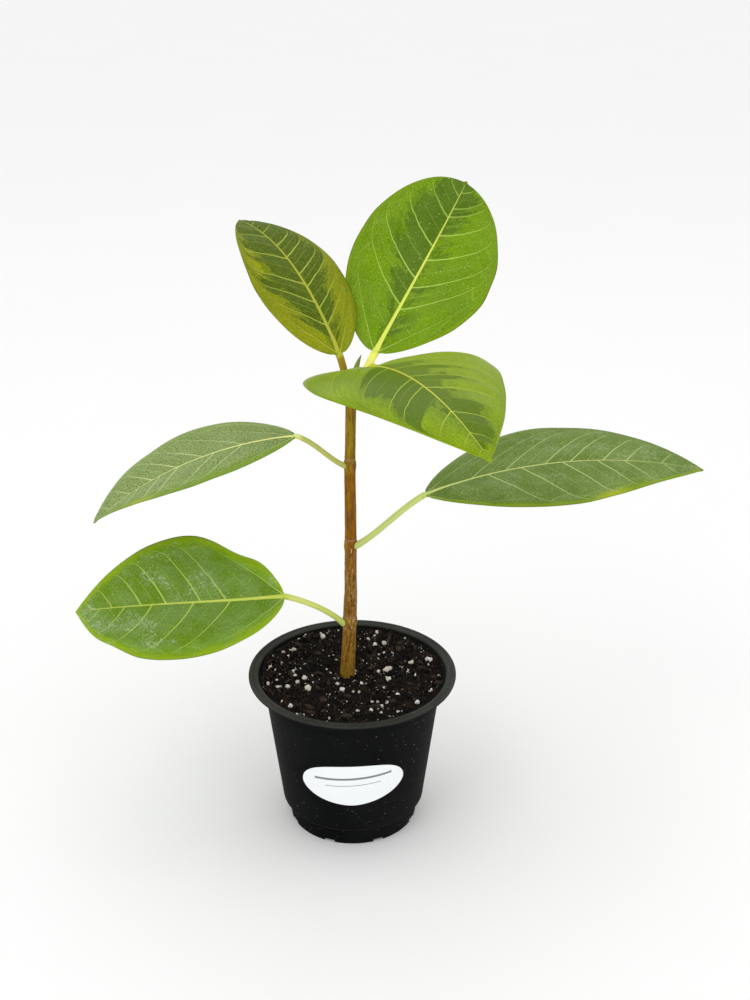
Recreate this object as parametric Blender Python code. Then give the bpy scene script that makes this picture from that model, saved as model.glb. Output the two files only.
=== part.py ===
"""Potted rubber plant: a young variegated rubber plant in a thin black nursery pot.

The numbers below are millimetres, and every mesh is scaled to metres as it is made.
+Z is up and -Y is the front, where the label is. The origin is the middle of the
pot's foot, on the surface that the pot stands on.
"""
import math
from collections import namedtuple

import bmesh
import bpy
import numpy as np

MM = 0.001
GAP = 0.3
ROUND_SIDES = 64

# Pot: a tapered wall on a narrower foot, flaring into a flat rim with a rolled lip.
POT_HEIGHT = 87.0
WALL = 1.0
FOOT_RADIUS = 34.2
FOOT_TOP = 8.5
SHOULDER_RADIUS = 38.2
SHOULDER_HEIGHT = 12.0
NECK_RADIUS = 46.3
NECK_HEIGHT = 76.0
FLARE = 4.6
FLARE_POWER = 2.4
RIM_RADIUS = 55.0
RIM_THICKNESS = 1.0
LIP_DROP = 1.7
FLOOR_BOTTOM = 2.2
FLOOR_TOP = 3.2
FOOT_RING_WIDTH = 1.2
BOSS_RADIUS = 8.0
DRAIN_COUNT = 8
DRAIN_RADIUS = 3.5
DRAIN_CIRCLE = 24.0
DRAIN_PHASE = 0.03
NOTCH_WIDTH = 6.0
NOTCH_HEIGHT = 1.6

# Label: a half-oval sticker with a low arched top, on the front of the wall.
LABEL_HALF_WIDTH = 28.5
LABEL_MIDDLE = 46.0
LABEL_RISE = 9.9
LABEL_DEPTH = 16.6
LABEL_ARCH = 3.8
LABEL_TILT = 1.0
LABEL_SHIFT = 0.55
LABEL_THICKNESS = 0.25

# Soil: its surface leans a little, high at the left and low at the right.
SOIL_HEIGHT = 84.6
SOIL_FALL_RIGHT = 0.02
SOIL_RISE_BACK = 0.01
SOIL_BUMP = 0.6

# Stem: heights, sideways positions and radii from inside the soil to the top bud.
STEM_HEIGHTS = (70.0, 82.0, 133.0, 205.0, 240.0, 252.0)
STEM_X = (-3.3, -2.7, -0.5, -0.5, 0.3, 2.0)
STEM_Y = (-1.0, -0.5, 1.5, 2.5, 2.6, 3.0)
STEM_RADII = (4.3, 4.1, 3.2, 2.8, 2.7, 2.2)
STEM_SIDES = 16
KNUCKLE_HEIGHTS = (116.0, 161.0, 204.0)
KNUCKLE_SWELL = 0.35
KNUCKLE_LENGTH = 3.0

# Roots: a short tap root with side roots that spread through the soil.
TAP_BOTTOM = 34.0
TAP_RADIUS = 3.8
SIDE_ROOTS = 7
ROOT_REACH = 27.0
ROOT_DROP = 30.0
ROOT_RADIUS = 1.7

# Leaf blades: skin thickness near the margin, and the samples along and across.
BLADE_THICKNESS = 0.7
BLADE_ROWS = 17
BLADE_SECTION = 16
STALK_ROWS = 8
ARRIVAL_BEND = 0.4

# Each leaf is a stalk and a blade. stem_at is the height where the stalk leaves the
# stem, lift its steepness there, and base the point where it becomes the blade.
# heading, pitch, droop, curl and sweep (degrees) steer the midrib; roll, twist,
# fold and cup (degrees) shape the blade across it; left and right are its half
# widths; widest, butt and tip place and round its outline.
Leaf = namedtuple("Leaf", "stem_at lift stalk_radius base length left right heading "
                  "pitch droop curl sweep roll twist fold_base fold_tip cup "
                  "widest butt tip colour")

LEAVES = {
    "leaf_top_right": Leaf(
        244.0, 30, 2.0, (11.5, 18.0, 257.4), 112, 38.0, 36.5, 58,
        36, 2, -7, -1, 10, 29, 5, 7, -18, 0.51, 0.59, 0.45, (0.16, 0.33, 0.04)),
    "leaf_top_left": Leaf(
        248.0, 38, 1.8, (-5.0, 7.0, 260.2), 99.5, 28.5, 28.0, 127,
        51, 15, 36, 5, 7, -6, 1, 10, -15, 0.42, 0.73, 0.73, (0.15, 0.22, 0.02)),
    "leaf_top_front": Leaf(
        240.0, 42, 2.0, (10.6, -19.0, 263.3), 121, 39.5, 43.0, -68,
        19, 38, 2, 3, 4, -9, 12, 2, -13, 0.38, 0.58, 0.89, (0.22, 0.38, 0.03)),
    "leaf_middle_left": Leaf(
        205.0, 28, 1.3, (-26.7, 5.0, 219.0), 121, 35.0, 34.5, 172,
        -9, 35, -1, 6, -5, 1, -1, 18, -8, 0.48, 0.74, 0.65, (0.08, 0.15, 0.05)),
    "leaf_middle_right": Leaf(
        160.5, 36, 1.6, (36.5, 10.0, 184.0), 146, 38.5, 38.5, 17,
        15, 19, 4, -28, 7, 1, 6, 7, -16, 0.48, 0.79, 0.89, (0.07, 0.14, 0.05)),
    "leaf_lower_left": Leaf(
        117.0, 50, 1.5, (-33.8, -4.0, 133.8), 108, 35.0, 35.0, 188,
        -2, -8, 15, -9, -34, 0, 13, 11, -3, 0.5, 0.6, 0.86, (0.11, 0.26, 0.03)),
}

BUD_BASE = (2.2, 3.0, 252.6)
BUD_TIP = (5.5, 3.0, 262.5)
BUD_RADIUS = 1.3

# The biggest perlite grains: (x, y, size), placed by hand on the soil.
PERLITE = (
    (-26, 39, 2.8), (-17, 37, 4.0), (-32, 23, 3.2), (-38, 21, 2.2), (-35, 17, 2.2),
    (-44, 6, 2.7), (-31, -1, 3.3), (-25, -6, 3.3), (-44, -12, 3.0), (-39, -14, 2.2),
    (-34, -13, 2.8), (-29, -9, 2.7), (-23, -16, 4.2), (-8, -11, 2.2), (-5, -16, 3.3),
    (5, -10, 2.1), (5, 14, 3.0), (13, 44, 2.8), (12, 29, 3.0), (17, 33, 3.3),
    (19, 4, 4.3), (14, 3, 2.2), (38, 23, 2.2), (41, 14, 4.0), (31, 13, 2.2),
    (19, -7, 3.3), (34, -28, 2.8), (10, -27, 2.2), (10, -36, 2.3), (-31, -33, 2.7),
    (24, -20, 2.3),
)

# Bark chips: (x, y, length, turn in degrees).
BARK_CHIPS = (
    (37, 6, 5.0, 20), (-3, -40, 6.0, 10), (-19, 20, 6.0, 150), (25, 26, 5.5, 80),
    (-15, -25, 5.5, 60), (21, -27, 5.0, 125),
)


def clear_scene():
    """Removes whatever the opened scene holds."""
    for item in list(bpy.data.objects):
        bpy.data.objects.remove(item, do_unlink=True)


def make_material(name, colour, roughness, metallic=0.0):
    """A plain Principled material of one colour."""
    mat = bpy.data.materials.new(name)
    mat.use_nodes = True
    shader = mat.node_tree.nodes["Principled BSDF"]
    shader.inputs["Base Color"].default_value = (*colour, 1.0)
    shader.inputs["Roughness"].default_value = roughness
    shader.inputs["Metallic"].default_value = metallic
    return mat


def add_solid(name, vertices, faces, mat, smooth_angle=40.0):
    """Makes one closed object from points in millimetres, with its faces outward."""
    bm = bmesh.new()
    made = [bm.verts.new(point) for point in np.asarray(vertices, float) * MM]
    for face in faces:
        bm.faces.new([made[index] for index in face])
    bmesh.ops.remove_doubles(bm, verts=bm.verts, dist=0.002 * MM)
    bmesh.ops.recalc_face_normals(bm, faces=bm.faces)
    mesh = bpy.data.meshes.new(name)
    bm.to_mesh(mesh)
    bm.free()
    mesh.materials.append(mat)
    mesh.shade_smooth()
    mesh.set_sharp_from_angle(angle=math.radians(smooth_angle))
    item = bpy.data.objects.new(name, mesh)
    bpy.context.scene.collection.objects.link(item)
    return item


def add_boolean(item, cutter, operation):
    """Joins or cuts with another object, which becomes a hidden guide."""
    modifier = item.modifiers.new(operation.lower(), "BOOLEAN")
    modifier.operation = operation
    modifier.solver = "EXACT"
    modifier.object = cutter
    cutter.hide_render = True
    cutter.display_type = "WIRE"


def skin(rings):
    """Points and faces of a closed skin: bands between rings, and a face at each end."""
    count, sides = rings.shape[:2]
    start = np.arange(sides)
    step = np.roll(start, -1)
    faces = []
    for row in range(count - 1):
        low = row * sides
        high = low + sides
        faces += np.stack([start + low, step + low, step + high, start + high], 1).tolist()
    faces.append(start[::-1].tolist())
    faces.append((start + (count - 1) * sides).tolist())
    return rings.reshape(-1, 3), faces


def unit(vectors):
    """The same directions with length one."""
    return vectors / np.linalg.norm(vectors, axis=-1, keepdims=True)


def round_rings(path, radii, sides, side=(1.0, 0.0, 0.0)):
    """Circles square to a path; side is roughly the first point's direction."""
    path = np.asarray(path, float)
    along = unit(np.gradient(path, axis=0))
    side = np.broadcast_to(np.asarray(side, float), along.shape)
    first = unit(side - along * np.sum(side * along, -1, keepdims=True))
    second = np.cross(along, first)
    angle = np.arange(sides) * 2 * math.pi / sides
    circle = (np.cos(angle)[None, :, None] * first[:, None]
              + np.sin(angle)[None, :, None] * second[:, None])
    return path[:, None] + circle * np.asarray(radii, float)[:, None, None]


def bezier(points, count):
    """A cubic curve through the first and last of four control points."""
    t = np.linspace(0.0, 1.0, count)[:, None]
    p0, p1, p2, p3 = (np.asarray(point, float) for point in points)
    return ((1 - t) ** 3 * p0 + 3 * (1 - t) ** 2 * t * p1
            + 3 * (1 - t) * t ** 2 * p2 + t ** 3 * p3)


def wall_radius(z):
    """Outer radius of the pot's wall at height z."""
    straight = np.interp(z, (0.0, FOOT_TOP, SHOULDER_HEIGHT, NECK_HEIGHT),
                         (FOOT_RADIUS, FOOT_RADIUS + 0.4, SHOULDER_RADIUS, NECK_RADIUS))
    rise = np.clip((z - NECK_HEIGHT) / (POT_HEIGHT - RIM_THICKNESS - NECK_HEIGHT), 0, 1)
    return straight + FLARE * rise ** FLARE_POWER


def pot_profile():
    """The pot's section as (radius, height), from under the floor round to its top."""
    flare = np.linspace(NECK_HEIGHT, POT_HEIGHT - RIM_THICKNESS, 7)
    rise = np.concatenate([[0.4, FOOT_TOP, SHOULDER_HEIGHT, 44.0], flare])
    under_rim = POT_HEIGHT - RIM_THICKNESS
    lip_inner = RIM_RADIUS - 1.1
    bottom = [(0.0, 0.0), (BOSS_RADIUS, 0.0), (BOSS_RADIUS, FLOOR_BOTTOM),
              (FOOT_RADIUS - FOOT_RING_WIDTH, FLOOR_BOTTOM),
              (FOOT_RADIUS - FOOT_RING_WIDTH, 0.0), (FOOT_RADIUS - 0.4, 0.0)]
    outside = [(float(wall_radius(z)), float(z)) for z in rise]
    rim = [(lip_inner, under_rim), (lip_inner + 0.2, POT_HEIGHT - LIP_DROP),
           (RIM_RADIUS - 0.2, POT_HEIGHT - LIP_DROP), (RIM_RADIUS, POT_HEIGHT - LIP_DROP + 0.4),
           (RIM_RADIUS, POT_HEIGHT - 0.5), (RIM_RADIUS - 0.5, POT_HEIGHT)]
    throat = float(wall_radius(under_rim)) - WALL
    inside = [(throat + 1.0, POT_HEIGHT), (throat + 0.3, POT_HEIGHT - 0.3)]
    inside += [(float(wall_radius(z)) - WALL, float(z)) for z in rise[:1:-1]]
    inside += [(FOOT_RADIUS + 0.4 - WALL, FOOT_TOP + 0.9),
               (FOOT_RADIUS + 0.2 - WALL, FLOOR_TOP), (0.0, FLOOR_TOP)]
    return bottom + outside + rim + inside


def turned(profile, sides=ROUND_SIDES):
    """Rings of a profile turned about Z."""
    angle = np.arange(sides) * 2 * math.pi / sides
    radius, height = np.asarray(profile, float).T
    return np.stack([radius[:, None] * np.cos(angle), radius[:, None] * np.sin(angle),
                     np.repeat(height[:, None], sides, 1)], -1)


def around(count, radius, phase=0.0):
    """Evenly spaced (x, y, angle) places on a circle."""
    angles = (np.arange(count) + phase) * 2 * math.pi / count
    return [(radius * math.cos(a), radius * math.sin(a), a) for a in angles]


def group_solids(shapes):
    """Puts several separate solids into one list of points and faces."""
    vertices, faces, offset = [], [], 0
    for points, polygons in shapes:
        vertices.append(points)
        faces += [[index + offset for index in face] for face in polygons]
        offset += len(points)
    return np.concatenate(vertices), faces


def make_pot():
    """The pot, with drain holes through its floor and notches under its foot ring."""
    plastic = make_material("black_plastic", (0.012, 0.012, 0.013), 0.45)
    points, faces = skin(turned(pot_profile()))
    pot = add_solid("pot", points, faces, plastic, 30)
    drains = []
    for x, y, _ in around(DRAIN_COUNT, DRAIN_CIRCLE, DRAIN_PHASE):
        ends = np.array([[x, y, FLOOR_BOTTOM - 2], [x, y, FLOOR_TOP + 2]])
        drains.append(skin(round_rings(ends, (DRAIN_RADIUS, DRAIN_RADIUS), 16)))
    add_boolean(pot, add_solid("drain_cutter", *group_solids(drains), plastic), "DIFFERENCE")
    notches = []
    for x, y, angle in around(DRAIN_COUNT, FOOT_RADIUS - FOOT_RING_WIDTH / 2, 0.5 + DRAIN_PHASE):
        out = np.array([math.cos(angle), math.sin(angle), 0.0])
        across = np.array([-out[1], out[0], 0.0]) * NOTCH_WIDTH / 2
        square = np.array([across - out * 2, across + out * 2, -across + out * 2, -across - out * 2])
        square += np.array([x, y, -1.0])
        notches.append(skin(np.stack([square, square + (0, 0, 1.0 + NOTCH_HEIGHT)])))
    add_boolean(pot, add_solid("notch_cutter", *group_solids(notches), plastic), "DIFFERENCE")


def make_label():
    """A thin sticker bent to the wall: rings of its outline shrunk to the middle."""
    turn = np.arange(48) * 2 * math.pi / 48
    across = np.cos(turn)
    upper = LABEL_RISE * np.sqrt(np.clip(1 - across ** 4, 0, 1))
    lower = -LABEL_DEPTH * np.clip(1 - np.abs(across) ** 1.7, 0, 1) ** (1 / 1.7)
    height = np.where(np.sin(turn) > 0, upper, lower) - LABEL_ARCH * across ** 2
    height += LABEL_TILT * across
    rings = []
    for lift, shares in ((GAP, (0.01, 0.35, 0.7, 1.0)), (GAP + LABEL_THICKNESS, (1.0, 0.7, 0.35, 0.01))):
        for share in shares:
            z = LABEL_MIDDLE + height * share
            radius = wall_radius(z) + lift
            angle = (across * share * LABEL_HALF_WIDTH + LABEL_SHIFT) / wall_radius(LABEL_MIDDLE)
            rings.append(np.stack([radius * np.sin(angle), -radius * np.cos(angle), z], -1))
    white = make_material("white_label", (0.85, 0.87, 0.88), 0.35)
    add_solid("label", *skin(np.array(rings)), white, 30)


def soil_height(x, y):
    """Height of the soil's surface: a leaning plane with low smooth lumps."""
    lumps = (np.sin(0.21 * x + 1.3) * np.cos(0.24 * y - 0.4)
             + 0.5 * np.sin(0.43 * x - 0.37 * y + 2.0))
    return SOIL_HEIGHT - SOIL_FALL_RIGHT * x + SOIL_RISE_BACK * y + SOIL_BUMP * lumps


def stem_centre(z):
    """Centre line of the stem at height z."""
    return np.stack([np.interp(z, STEM_HEIGHTS, STEM_X), np.interp(z, STEM_HEIGHTS, STEM_Y), z], -1)


def stem_radius(z):
    """Radius of the stem at height z, a little thicker where a leaf stands or stood."""
    radius = np.interp(z, STEM_HEIGHTS, STEM_RADII)
    for knuckle in KNUCKLE_HEIGHTS:
        radius = radius + KNUCKLE_SWELL * np.exp(-((z - knuckle) / KNUCKLE_LENGTH) ** 2)
    return radius


def root_solids(name, extra, mat):
    """The tap root with its side roots joined to it; extra makes every root fatter."""
    tap_top = STEM_HEIGHTS[0] - GAP
    heights = np.linspace(tap_top + extra, TAP_BOTTOM - extra, 8)
    middle = stem_centre(np.full(8, STEM_HEIGHTS[0]))
    path = np.column_stack([middle[:, :2], heights])
    radii = np.linspace(TAP_RADIUS, 0.8, 8) + extra
    tap = add_solid(name, *skin(round_rings(path, radii, 10)), mat)
    for number, (x, y, angle) in enumerate(around(SIDE_ROOTS, ROOT_REACH, 0.3)):
        start = np.array([middle[0, 0], middle[0, 1], tap_top - 5 - 3.1 * number])
        drop = ROOT_DROP * (0.55 + 0.45 * math.sin(2.1 * number))
        end = np.array([x, y, max(start[2] - drop - 8, 9.0) - extra])
        reach = np.array([math.cos(angle), math.sin(angle), 0.0])
        route = bezier((start, start + reach * 12, end + (0, 0, 12), end), 9)
        widths = np.linspace(ROOT_RADIUS, 0.5, 9) + extra
        side = add_solid(f"{name}_{number}_guide", *skin(round_rings(
            route, widths, 8, (-math.sin(angle), math.cos(angle), 0.0))), mat)
        add_boolean(tap, side, "UNION")
    return tap


def make_soil():
    """The soil, as a plug that fits the pot, hollow where the stem and roots are."""
    peat = make_material("peat_soil", (0.012, 0.008, 0.006), 0.95)
    angle = np.arange(ROUND_SIDES) * 2 * math.pi / ROUND_SIDES
    rings = []
    foot_inner = FOOT_TOP + 1.4
    for z in (FLOOR_TOP + GAP, foot_inner, SHOULDER_HEIGHT, 50.0, NECK_HEIGHT,
              NECK_HEIGHT + 2.5, NECK_HEIGHT + 4.5, NECK_HEIGHT + 6.2):
        radius = wall_radius(z if z > foot_inner else FLOOR_TOP) - WALL - GAP
        rings.append(np.stack([radius * np.cos(angle), radius * np.sin(angle), np.full_like(angle, z)], -1))
    rim = np.full_like(angle, wall_radius(SOIL_HEIGHT) - WALL - GAP)
    for _ in range(3):
        rim = wall_radius(soil_height(rim * np.cos(angle), rim * np.sin(angle))) - WALL - GAP - 0.3
    for share in (1.0, 0.93, 0.84, 0.74, 0.64, 0.54, 0.44, 0.34, 0.24, 0.14, 0.05):
        x, y = rim * share * np.cos(angle), rim * share * np.sin(angle)
        rings.append(np.stack([x, y, soil_height(x, y)], -1))
    soil = add_solid("soil", *skin(np.array(rings)), peat, 60)
    add_boolean(soil, root_solids("root_room", GAP + 0.05, peat), "DIFFERENCE")
    heights = np.array([STEM_HEIGHTS[0] - 1.5, 76.0, SOIL_HEIGHT, SOIL_HEIGHT + 6])
    room = round_rings(stem_centre(heights), stem_radius(heights) + GAP + 0.05, STEM_SIDES)
    add_boolean(soil, add_solid("stem_room", *skin(room), peat), "DIFFERENCE")


def make_stem():
    """The woody stem, from inside the soil to just under the top bud."""
    bark = make_material("bark", (0.16, 0.085, 0.03), 0.7)
    heights = np.unique(np.concatenate([
        np.linspace(STEM_HEIGHTS[0], STEM_HEIGHTS[-1], 22),
        *[np.array([-3.0, 0.0, 3.0]) + knuckle for knuckle in KNUCKLE_HEIGHTS]]))
    rings = round_rings(stem_centre(heights), stem_radius(heights), STEM_SIDES)
    add_solid("stem", *skin(rings), bark, 60)


def make_roots():
    """The roots, wholly inside the soil."""
    root_solids("roots", 0.0, make_material("root_skin", (0.36, 0.24, 0.13), 0.8))


def midrib(leaf, rows):
    """Points and frames along the midrib: pitch falls by droop and curl, heading sweeps."""
    s = (1 - np.cos(np.linspace(0, math.pi, rows))) / 2
    fine = np.linspace(0.0, 1.0, 801)

    def frame(at):
        pitch = np.radians(leaf.pitch - leaf.droop * at - leaf.curl * at ** 2)
        heading = np.radians(leaf.heading + leaf.sweep * at)
        along = np.stack([np.cos(heading) * np.cos(pitch), np.sin(heading) * np.cos(pitch),
                          np.sin(pitch)], -1)
        side = np.stack([-np.sin(heading), np.cos(heading), np.zeros_like(at)], -1)
        return along, side

    along, _ = frame(fine)
    steps = (along[1:] + along[:-1]) / 2 * (leaf.length / (len(fine) - 1))
    run = np.concatenate([np.zeros((1, 3)), np.cumsum(steps, 0)])
    points = np.stack([np.interp(s, fine, run[:, axis]) for axis in range(3)], -1)
    along, side = frame(s)
    up = np.cross(along, side)
    turn = np.radians(leaf.roll + leaf.twist * s)[:, None]
    across = side * np.cos(turn) + up * np.sin(turn)
    above = up * np.cos(turn) - side * np.sin(turn)
    return s, np.asarray(leaf.base) + points, along, across, above


def half_width(leaf, s):
    """Outline of the blade from 0 to 1: a sine hump, shifted to its widest place."""
    shifted = np.clip(s, 0, 1) ** (math.log(0.5) / math.log(leaf.widest))
    hump = np.clip(np.sin(math.pi * shifted), 0, 1)
    return np.where(shifted < 0.5, hump ** leaf.butt, hump ** leaf.tip)


def section(leaf, s, across, above):
    """One closed ring round the blade: over the top from left to right, back below."""
    quarter = BLADE_SECTION // 2
    lane = np.concatenate([np.linspace(1, -1, quarter + 1), np.linspace(-1, 1, quarter + 1)[1:-1]])
    upper = np.concatenate([np.ones(quarter + 1), -np.ones(quarter - 1)])
    shape = half_width(leaf, s)[:, None]
    rib = (leaf.stalk_radius * (1 - s) + 0.4 * s)[:, None]
    width = np.maximum(np.where(lane > 0, leaf.left, leaf.right) * shape, 0.0)
    flat = np.clip((width - rib) / (3 * rib), 0, 1)
    angle = np.radians(leaf.fold_base * (1 - s) + leaf.fold_tip * s)[:, None]
    bend = math.radians(leaf.cup) * np.abs(lane) / 2
    reach = width * np.abs(lane) * np.sinc(bend / math.pi)
    x = np.sign(lane) * reach * np.cos(angle + bend)
    z = reach * np.sin(angle + bend)
    lens = BLADE_THICKNESS / 2 + (rib - BLADE_THICKNESS / 2) * np.clip(1 - np.abs(lane) * 3, 0, 1)
    lens = np.where(np.abs(lane) > 0.999, 0.0, lens)
    round_x = -np.cos(np.arange(BLADE_SECTION) * 2 * math.pi / BLADE_SECTION) * -rib
    round_z = np.sin(np.arange(BLADE_SECTION) * 2 * math.pi / BLADE_SECTION) * rib
    x = x * flat + round_x * (1 - flat)
    z = (z + upper * lens * (1 - 0.35 * s[:, None])) * flat + round_z * (1 - flat)
    return across[:, None] * x[..., None] + above[:, None] * z[..., None]


def make_leaf(name, leaf):
    """One leaf: a round stalk from the stem that widens into the blade."""
    s, points, along, across, above = midrib(leaf, BLADE_ROWS)
    core = stem_centre(np.array(leaf.stem_at))
    away = np.asarray(leaf.base) - core
    away = unit(np.array([away[0], away[1], 0.0]))
    lift = math.radians(leaf.lift)
    leaving = away * math.cos(lift) + np.array([0, 0, math.sin(lift)])
    clear = float(stem_radius(leaf.stem_at)) + GAP + 0.1 + leaf.stalk_radius * math.sin(lift)
    start = core + away * clear
    chord = points[0] - start
    reach = np.linalg.norm(chord) * 0.36
    arriving = unit(unit(chord) * (1 - ARRIVAL_BEND) + along[0] * ARRIVAL_BEND)
    stalk = bezier((start, start + leaving * reach, points[0] - arriving * reach, points[0]),
                   STALK_ROWS)
    stalk_rings = round_rings(stalk, np.full(STALK_ROWS, leaf.stalk_radius), BLADE_SECTION, across[0])
    blade = points[:, None] + section(leaf, s, across, above)
    blade[-1] = points[-1]
    colour = make_material(name, leaf.colour, 0.4)
    add_solid(name, *skin(np.concatenate([stalk_rings, blade[1:]])), colour, 60)


def make_bud():
    """The pointed sheath of the next leaf, at the top of the stem."""
    share = np.linspace(0, 1, 7)
    base, tip = np.asarray(BUD_BASE), np.asarray(BUD_TIP)
    path = base + (tip - base) * share[:, None]
    radii = BUD_RADIUS * np.cos(share * math.pi / 2) ** 0.8
    rings = round_rings(path, radii, 10)
    rings[-1] = tip
    add_solid("terminal_bud", *skin(rings), make_material("bud_sheath", (0.15, 0.27, 0.05), 0.4), 60)


def make_lump(name, middle, size, turn, seed, mat):
    """An irregular closed lump with its lowest point just clear of the soil."""
    bm = bmesh.new()
    bmesh.ops.create_icosphere(bm, subdivisions=1, radius=0.5)
    points = np.array([vert.co[:] for vert in bm.verts])
    faces = [[vert.index for vert in face.verts] for face in bm.faces]
    bm.free()
    rng = np.random.default_rng(seed)
    points *= 1 + 0.16 * rng.standard_normal((len(points), 1))
    points *= size
    cos, sin = math.cos(turn), math.sin(turn)
    points = points @ np.array([[cos, sin, 0], [-sin, cos, 0], [0, 0, 1]])
    spot = points[:, :2] + middle
    ground = soil_height(spot[:, 0], spot[:, 1])
    points[:, 2] += np.max(ground - points[:, 2]) + GAP + 0.25
    points[:, :2] = spot
    add_solid(name, points, faces, mat, 30)


def make_top_dressing():
    """The perlite grains and bark chips that lie on the soil."""
    white = make_material("perlite", (0.72, 0.68, 0.58), 0.85)
    brown = make_material("bark_chip", (0.06, 0.03, 0.015), 0.9)
    for number, (x, y, size) in enumerate(PERLITE, 1):
        shape = np.array([1.0, 0.78, 0.7]) * size
        make_lump(f"perlite_{number:02d}", (x, y), shape, 0.9 * number, number, white)
    for number, (x, y, size, turn) in enumerate(BARK_CHIPS, 1):
        shape = np.array([1.0, 0.45, 0.3]) * size
        make_lump(f"bark_chip_{number}", (x, y), shape, math.radians(turn), 100 + number, brown)


def main():
    clear_scene()
    make_pot()
    make_label()
    make_soil()
    make_stem()
    make_roots()
    for name, leaf in LEAVES.items():
        make_leaf(name, leaf)
    make_bud()
    make_top_dressing()


main()
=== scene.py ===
"""Young variegated rubber plant in a thin black nursery pot: everything that is seen.

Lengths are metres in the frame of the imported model: +Z up, the front of the pot at -Y.
Each new piece is a grid of points worked out with numpy and stands in for CAD nodes.
"""
import math
from collections import namedtuple

import bmesh
import bpy
import numpy as np
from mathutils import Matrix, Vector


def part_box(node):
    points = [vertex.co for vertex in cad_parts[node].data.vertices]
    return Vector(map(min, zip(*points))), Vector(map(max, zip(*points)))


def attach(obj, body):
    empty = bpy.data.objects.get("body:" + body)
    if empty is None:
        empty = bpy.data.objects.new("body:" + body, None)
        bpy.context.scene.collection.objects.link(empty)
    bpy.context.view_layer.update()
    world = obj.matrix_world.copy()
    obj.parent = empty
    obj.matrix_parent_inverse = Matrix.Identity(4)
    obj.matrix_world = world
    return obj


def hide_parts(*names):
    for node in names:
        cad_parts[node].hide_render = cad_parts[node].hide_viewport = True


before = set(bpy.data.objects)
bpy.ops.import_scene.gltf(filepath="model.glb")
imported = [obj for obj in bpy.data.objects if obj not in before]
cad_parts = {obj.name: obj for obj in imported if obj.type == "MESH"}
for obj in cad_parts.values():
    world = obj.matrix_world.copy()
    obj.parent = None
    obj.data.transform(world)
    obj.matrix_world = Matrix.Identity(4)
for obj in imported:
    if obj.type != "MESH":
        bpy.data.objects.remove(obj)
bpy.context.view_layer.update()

MM = 0.001
BODY = "root"

# ---------------------------------------------------------------- number helpers


def unit(vectors):
    """The same directions with length one."""
    return vectors / np.linalg.norm(vectors, axis=-1, keepdims=True)


def smooth(value, low, high):
    """Smoothstep: 0 below low, 1 above high, an S curve between."""
    share = np.clip((value - low) / (high - low), 0.0, 1.0)
    return share * share * (3.0 - 2.0 * share)


LATTICE_NUMBERS = 4096
LATTICE_MIX = np.array([73856093, 19349663, 83492791])    # scatters neighbours apart


def noise(points, size, seed=0):
    """Value noise from -1 to 1: random numbers on a lattice of `size`, blended smoothly."""
    table = np.random.default_rng(seed).uniform(-1.0, 1.0, LATTICE_NUMBERS)
    spot = np.asarray(points, float) / size
    cell = np.floor(spot).astype(np.int64)
    share = spot - cell
    share = share * share * (3.0 - 2.0 * share)
    total = np.zeros(spot.shape[:-1])
    for corner in range(8):
        step = np.array([corner & 1, corner >> 1 & 1, corner >> 2 & 1])
        key = (cell + step) * LATTICE_MIX
        index = (key[..., 0] ^ key[..., 1] ^ key[..., 2]) & (LATTICE_NUMBERS - 1)
        total += table[index] * np.prod(np.where(step, share, 1.0 - share), -1)
    return total


def layered(points, size, seed=0, layers=3):
    """Several sizes of value noise added, each half as large and half as strong."""
    return sum(noise(points, size / 2 ** k, seed + k) / 2 ** k for k in range(layers))


def full_turn(count):
    """Angles spaced evenly once round a circle."""
    return np.arange(count) * 2 * math.pi / count


def bezier(controls, count):
    """A cubic curve through the first and last of four control points."""
    t = np.linspace(0.0, 1.0, count)[:, None]
    p0, p1, p2, p3 = (np.asarray(point, float) for point in controls)
    return ((1 - t) ** 3 * p0 + 3 * (1 - t) ** 2 * t * p1
            + 3 * (1 - t) * t ** 2 * p2 + t ** 3 * p3)


# ---------------------------------------------------------------- mesh helpers


def make_piece(name, points, faces, material, fields=None):
    """One mesh object from points and face arrays, turned so that its faces point out."""
    points = np.asarray(points, float)
    fan = np.concatenate([face[:, [0, k, k + 1]] for face in faces
                          for k in range(1, face.shape[1] - 1)])
    a, b, c = (points[fan[:, k]] for k in range(3))
    if np.sum(a * np.cross(b, c)) < 0:
        faces = [face[:, ::-1] for face in faces]
    mesh = bpy.data.meshes.new(name)
    corners = np.concatenate([face.ravel() for face in faces])
    sizes = np.concatenate([np.full(len(face), face.shape[1]) for face in faces])
    mesh.vertices.add(len(points))
    mesh.loops.add(len(corners))
    mesh.polygons.add(len(sizes))
    mesh.vertices.foreach_set("co", points.astype(np.float32).ravel())
    mesh.loops.foreach_set("vertex_index", corners.astype(np.int32))
    mesh.polygons.foreach_set("loop_start", (np.cumsum(sizes) - sizes).astype(np.int32))
    mesh.update(calc_edges=True)
    mesh.shade_smooth()
    for field, values in (fields or {}).items():
        values = np.asarray(values, np.float32)
        if values.ndim == 1:
            mesh.attributes.new(field, "FLOAT", "POINT").data.foreach_set("value", values)
        else:
            layer = mesh.attributes.new(field, "FLOAT_VECTOR", "POINT")
            layer.data.foreach_set("vector", values.ravel())
    mesh.materials.append(material)
    piece = bpy.data.objects.new(name, mesh)
    bpy.context.scene.collection.objects.link(piece)
    return piece


def band(rows, cols, start=0):
    """Quads of a grid of points that is closed round its columns."""
    row, col = np.meshgrid(np.arange(rows - 1), np.arange(cols), indexing="ij")
    here, side = row * cols + col, row * cols + (col + 1) % cols
    return start + np.stack([here, side, side + cols, here + cols], -1).reshape(-1, 4)


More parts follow.
